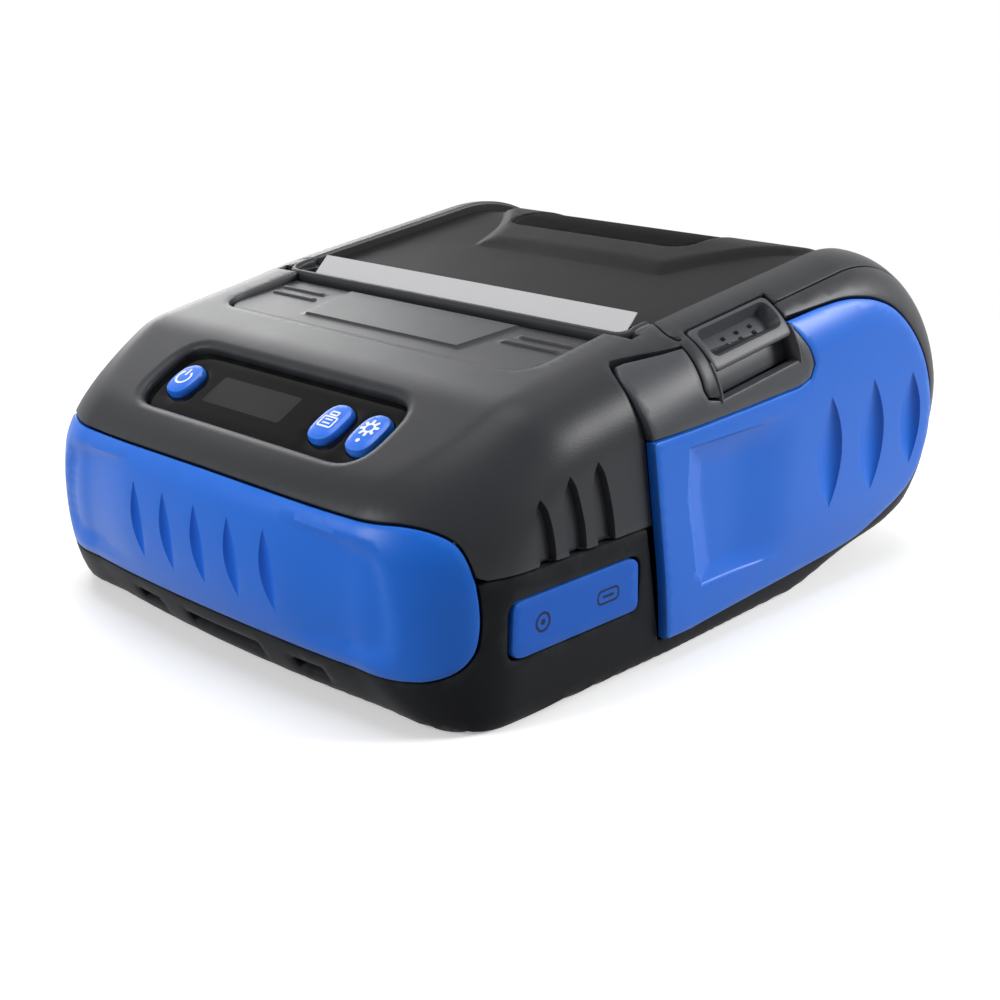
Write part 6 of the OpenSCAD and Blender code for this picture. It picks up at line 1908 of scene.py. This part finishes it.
@dataclass
class FrontPanel:
    """Black display window with its screen, and three blue keys with plain marks."""

    window: tuple[float, float] = (59.3, 15.6)
    corner: float = 4.2
    sunk: float = 0.75
    screen: tuple[float, float, float, float] = (-16.0, 5.0, -3.0, 3.4)
    keys: Sequence[tuple[str, float, float, float]] = (
        ("power", -23.2, -0.2, 7.6), ("feed", 16.3, -0.5, 8.7), ("settings", 25.4, -0.5, 8.7))
    key_w: float = 6.1
    key_r: float = 3.6
    key_crown: float = 0.9
    rise: float = 1.45
    cog: tuple[float, float, float] = (1.5, 0.378, 0.72)

    def chart(self) -> PlaneChart:
        """Map of the plane that the window lies in."""
        return PlaneChart()

    def pane(self) -> bpy.types.Object:
        """Display window with round holes for the keys.

        Returns:
            The piece.
        """
        loop = rounded(box_loop(*self.window), self.corner * 1.5)
        holes = [self.key_loop(x, y, length, 0.12)[::-1] for _, x, y, length in self.keys]
        plate = Plate("display_pane", self.chart(), loop, holes, lift=-self.sunk, thickness=0.6, rim=0.3,
                      pitch=2.0)
        return plate.piece(GLASS_BLACK, "base", "window", "display_window")

    def screen_patch(self) -> bpy.types.Object:
        """Screen that shows faintly through the window.

        Returns:
            The piece.
        """
        loop = rounded(span_loop(*self.screen), 0.6, 3)
        plate = Plate("screen_patch", self.chart(), loop, lift=-self.sunk + 0.03, thickness=0.05, rim=0.02,
                      pitch=2.5)
        return plate.piece(SCREEN, "base", "window")

    def key_loop(self, x: float, y: float, length: float, by: float = 0.0) -> np.ndarray:
        """Rounded outline of a key, grown by a gap."""
        return rounded(box_loop(self.key_w + 2 * by, length + 2 * by) + [x, y], self.key_r + by, 6)

    def key(self, name: str, x: float, y: float, length: float) -> list[bpy.types.Object]:
        """Key with a gently domed face, and its mark.

        Args:
            name: Name of the key.
            x: Middle of the key across.
            y: Middle of the key along the slope.
            length: Length of the key.
        Returns:
            The cap and the parts of its mark.
        """
        def dome(p: np.ndarray, uv: np.ndarray) -> np.ndarray:
            """Crown of a key: falls off with the square of the distance from its middle."""
            off = ((uv[:, 0] - x) / self.key_w) ** 2 + ((uv[:, 1] - y) / length) ** 2
            return -self.key_crown * off
        loop = self.key_loop(x, y, length)
        plate = Plate(name + "_cap", self.chart(), loop, relief=dome, lift=self.rise - self.sunk,
                      thickness=1.7, rim=0.75, pitch=0.55)
        made = [plate.piece(KEY_BLUE, name + "_key", "blue", name + "_button")]
        for k, part in enumerate(self.marks(name, x, y)):
            sign = self.mark(f"{name}_mark_{k}", part, dome)
            made.append(settle(ICON_WHITE.dress(sign), name + "_key", "blue"))
        return made

    def mark(self, name: str, loops: list[np.ndarray], dome: Relief) -> bpy.types.Object:
        """Thin white mark on a key."""
        return Plate(name, self.chart(), loops[0], loops[1:], relief=dome, lift=self.rise - self.sunk + 0.03,
                     thickness=0.06, rim=0.0, pitch=0.5).build()

    def marks(self, name: str, x: float, y: float) -> list[list[np.ndarray]]:
        """Outlines of plain signs: a broken ring and bar, a page in a box, or a cog over a dot.

        Args:
            name: Name of the key.
            x: Middle of the key across.
            y: Middle of the key along the slope.
        Returns:
            For each part of the sign its outline and holes.
        """
        if name == "power":
            t = np.radians(np.linspace(125.0, 415.0, 40))
            ray = np.column_stack([np.cos(t), np.sin(t)])
            arc = np.vstack([ray * 1.75, ray[::-1] * 1.3]) + [x, y]
            return [[arc], [box_loop(0.42, 1.7) + [x, y + 1.25]]]
        if name == "feed":
            body = rounded(box_loop(3.4, 2.5), 0.5, 3) + [x, y - 0.35]
            page = rounded(box_loop(2.0, 1.1), 0.3, 3) + [x, y + 1.6]
            frames = [[loop, grown(loop, -0.34)[::-1]] for loop in (body, page)]
            return frames + [[box_loop(1.7, 0.3) + [x, y - 0.35 + rise]] for rise in (0.45, -0.35)]
        turn = np.linspace(0.0, 2 * np.pi, 97)[:-1]
        middle, tooth, bore = self.cog
        reach = middle + tooth * np.clip(np.sin(turn * 8) * 3, -1, 1)
        cog = np.column_stack([np.cos(turn), np.sin(turn)]) * reach[:, None]
        wheel = [cog + [x, y + 0.7], ring((x, y + 0.7), bore, bore, 24)[::-1]]
        return [wheel, [ring((x, y - 2.2), 0.42, 0.42, 16)]]


@dataclass
class PortCover:
    """Blue flap over the ports, with a ring mark and a slot mark."""

    outline: Sequence[tuple[float, float]] = (
        (18.2, 20.6), (19.5, 21.15), (45.2, 21.25), (47.7, 20.4), (48.0, 12.6), (47.2, 11.65), (19.9, 11.65),
        (18.0, 12.6))
    jack_sign: tuple[float, float] = (24.8, 16.4)
    port_sign: tuple[float, float] = (40.2, 16.4)

    def cover(self) -> list[bpy.types.Object]:
        """Flap and its marks.

        Returns:
            The flap and the parts of its marks.
        """
        chart = SheetChart()
        loop = rounded(self.outline, 1.2, 4)
        plate = Plate("port_flap", chart, loop, thickness=1.1, rim=0.4, pitch=1.6)
        flap = plate.piece(DEEP_BLUE, "flap", "blue", "port_cover")
        jack = [ring(self.jack_sign, r, r, count) for r, count in ((1.7, 32), (1.25, 32), (0.5, 20))]
        slot = rounded(box_loop(5.4, 2.6) + self.port_sign, 1.2, 4)
        loops = [[jack[0], jack[1][::-1]], [jack[2]], [slot, grown(slot, -0.4)[::-1]],
                 [box_loop(2.6, 0.5) + self.port_sign]]
        marks = [Plate(f"port_mark_{k}", chart, part[0], part[1:], lift=0.02, thickness=0.05, rim=0.0,
                       pitch=0.6).build() for k, part in enumerate(loops)]
        return [flap] + [settle(MARK_BLACK.dress(mark), "flap", "blue") for mark in marks]


# ---------------------------------------------------------------- inside


@dataclass(frozen=True)
class Insides:
    """Finishes for the nodes that are shown as the CAD gives them."""

    slots: tuple[tuple[str, Finish], ...] = (
        ("shell", CASE_GREY), ("dark", INNER_GREY), ("blue", BLUE), ("window", LID_GLASS), ("paper", PAPER),
        ("card", CARD), ("rubber", RUBBER), ("steel", STEEL), ("alu", ALUMINIUM), ("gear", ACETAL),
        ("board", BOARD), ("ceramic", CERAMIC))

    def dress(self) -> int:
        """Gives each CAD node the finish of its slot.

        Returns:
            How many nodes were dressed.
        """
        finishes = dict(self.slots)
        wanted = slot_of_nodes()
        for name, node in frame["nodes"].items():
            finishes[wanted.get(name, "dark")].dress(node)
        return len(frame["nodes"])


def slot_of_nodes() -> dict[str, str]:
    """Material slot of each node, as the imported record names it."""
    return {part["node"]: part["material_slot"] for part in frame["record"]["subparts"]}


# ---------------------------------------------------------------- studio


WHITE = (1.0, 1.0, 1.0, 1.0)


@dataclass
class Studio:
    """Pale floor and backdrop, soft lamps and the camera at the photograph's angle."""

    place: tuple[float, float, float] = (207.8, -217.25, 111.2)
    azimuth: float = 43.8
    pitch: float = 18.3
    roll: float = 0.3
    lens: float = 57.9
    ambient: float = 0.2
    floor_half: float = 3000.0
    floor_glow: float = 0.3
    floor_fade: tuple[float, float] = (0.1, 0.3)
    aim: tuple[float, float, float] = (0.0, 0.0, 0.03)
    lamps: Sequence[tuple[str, tuple[float, float, float], float, float]] = (
        ("left_lamp", (-0.88, 0.38, 0.36), 0.5, 3.2), ("top_lamp", (-0.1, 0.0, 1.0), 0.7, 4.5),
        ("side_lamp", (0.62, 0.62, 0.46), 0.35, 8.5), ("front_lamp", (-0.3, -0.9, 0.45), 0.45, 5.8))

    def camera(self) -> bpy.types.Object:
        """Camera of the photograph.

        Returns:
            The camera.
        """
        data = bpy.data.cameras.new("photo_camera")
        data.lens, data.sensor_width = self.lens, 36.0
        data.clip_start, data.clip_end = 0.005, 20.0
        obj = bpy.data.objects.new("photo_camera", data)
        bpy.context.scene.collection.objects.link(obj)
        a, e, r = (math.radians(v) for v in (self.azimuth, self.pitch, self.roll))
        back = np.array([math.sin(a) * math.cos(e), -math.cos(a) * math.cos(e), math.sin(e)])
        right = np.array([math.cos(a), math.sin(a), 0.0])
        up = np.cross(back, right)
        across = right * math.cos(r) + up * math.sin(r)
        upward = up * math.cos(r) - right * math.sin(r)
        rows = np.column_stack([across, upward, back, np.array(self.place) * MM])
        obj.matrix_world = Matrix([*map(list, rows), [0.0, 0.0, 0.0, 1.0]])
        bpy.context.scene.camera = obj
        return obj

    def white_to_camera(self, tree: bpy.types.NodeTree, shown: bpy.types.NodeSocket,
                        plain: bpy.types.Node) -> None:
        """Mixes a white glow in for rays of the camera, of gloss and of glass.

        Args:
            tree: Tree of the world or the floor.
            shown: Shader that such rays meet.
            plain: Node whose shader lights the object.
        """
        g = Graph(tree)
        path = g.add("ShaderNodeLightPath")
        seen = g.math("MAXIMUM", path.outputs["Is Camera Ray"], path.outputs["Is Glossy Ray"])
        seen = g.math("MAXIMUM", seen, path.outputs["Is Transmission Ray"])
        mixed = g.add("ShaderNodeMixShader", {0: seen, 1: plain.outputs[0], 2: shown})
        out = next(n for n in tree.nodes if n.type in ("OUTPUT_WORLD", "OUTPUT_MATERIAL"))
        tree.links.new(mixed.outputs[0], out.inputs["Surface"])

    def world(self) -> None:
        """Even ambient light, with white behind the object."""
        world = bpy.data.worlds.new("studio")
        bpy.context.scene.world = world
        world.use_nodes = True
        plain = next(n for n in world.node_tree.nodes if n.type == "BACKGROUND")
        plain.inputs["Color"].default_value = WHITE
        plain.inputs["Strength"].default_value = self.ambient
        white = Graph(world.node_tree).add("ShaderNodeBackground", {"Color": WHITE, "Strength": 1.0})
        self.white_to_camera(world.node_tree, white.outputs[0], plain)

    def floor(self) -> bpy.types.Object:
        """Wide pale floor that keeps the shadow.

        Returns:
            The floor.
        """
        line = np.linspace(-self.floor_half, self.floor_half, 3)
        x, y = np.meshgrid(line, line)
        grid = np.column_stack([x.ravel(), y.ravel(), np.full(9, -0.05)])
        quads = [(k, k + 1, k + 4, k + 3) for k in (0, 1, 3, 4)]
        obj = mesh_piece("studio_floor", grid, quads)
        made = bpy.data.materials.new("studio_floor")
        made.use_nodes = True
        g = Graph(made.node_tree)
        lit = next(n for n in made.node_tree.nodes if n.type == "BSDF_PRINCIPLED")
        lit.inputs["Base Color"].default_value = (0.9, 0.9, 0.9, 1.0)
        lit.inputs["Roughness"].default_value = 0.9
        lit.inputs["Emission Color"].default_value = WHITE
        lit.inputs["Emission Strength"].default_value = self.floor_glow
        place = g.add("ShaderNodeTexCoord").outputs["Object"]
        far = g.add("ShaderNodeVectorMath", {0: place}, operation="LENGTH")
        near, away = self.floor_fade
        share = g.add("ShaderNodeMapRange", {"Value": far.outputs["Value"], "From Min": near,
                                             "From Max": away}, interpolation_type="SMOOTHSTEP")
        white = g.add("ShaderNodeEmission", {"Color": WHITE, "Strength": 1.0})
        shown = g.add("ShaderNodeMixShader", {0: share.outputs[0], 1: lit.outputs[0], 2: white.outputs[0]})
        plain = g.add("ShaderNodeBsdfDiffuse", {"Color": (0.2, 0.2, 0.2, 1.0)})
        self.white_to_camera(made.node_tree, shown.outputs[0], plain)
        obj.data.materials.append(made)
        return obj

    def light(self) -> None:
        """Soft lamps, each aimed at the middle of the object."""
        for name, place, size, power in self.lamps:
            data = bpy.data.lights.new(name, "AREA")
            data.shape, data.size, data.energy = "DISK", size, power
            obj = bpy.data.objects.new(name, data)
            bpy.context.scene.collection.objects.link(obj)
            obj.location = place
            obj.rotation_euler = (Vector(self.aim) - Vector(place)).to_track_quat("-Z", "Y").to_euler()


def main() -> None:
    """Builds the pieces in order and reports each."""
    logging.basicConfig(level=logging.INFO, format="%(name)s %(message)s")
    studio = Studio()
    studio.camera()
    studio.world()
    studio.floor()
    studio.light()
    bpy.context.scene.view_settings.view_transform = "Standard"
    LOG.info("nodes dressed: %d", Insides().dress())
    case, sides, lid, latch, front = Case(), SideParts(), Lid(), Latch(), FrontPanel()
    pieces = [*case.upper(), case.lower(), case.bumper(), case.cover(), case.lip(), case.hinge_pin(),
              *case.inner_walls()]
    for side in Side:
        pieces += [sides.panel(side), sides.trim(side)]
    pieces += [lid.shell(), lid.pane(), latch.lever(), latch.well(), front.pane(), front.screen_patch()]
    for key in front.keys:
        pieces += front.key(*key)
    pieces += PortCover().cover()
    for piece in pieces:
        LOG.info("%s: %d faces", piece.name, len(piece.data.polygons))


if __name__ == "__main__":
    main()
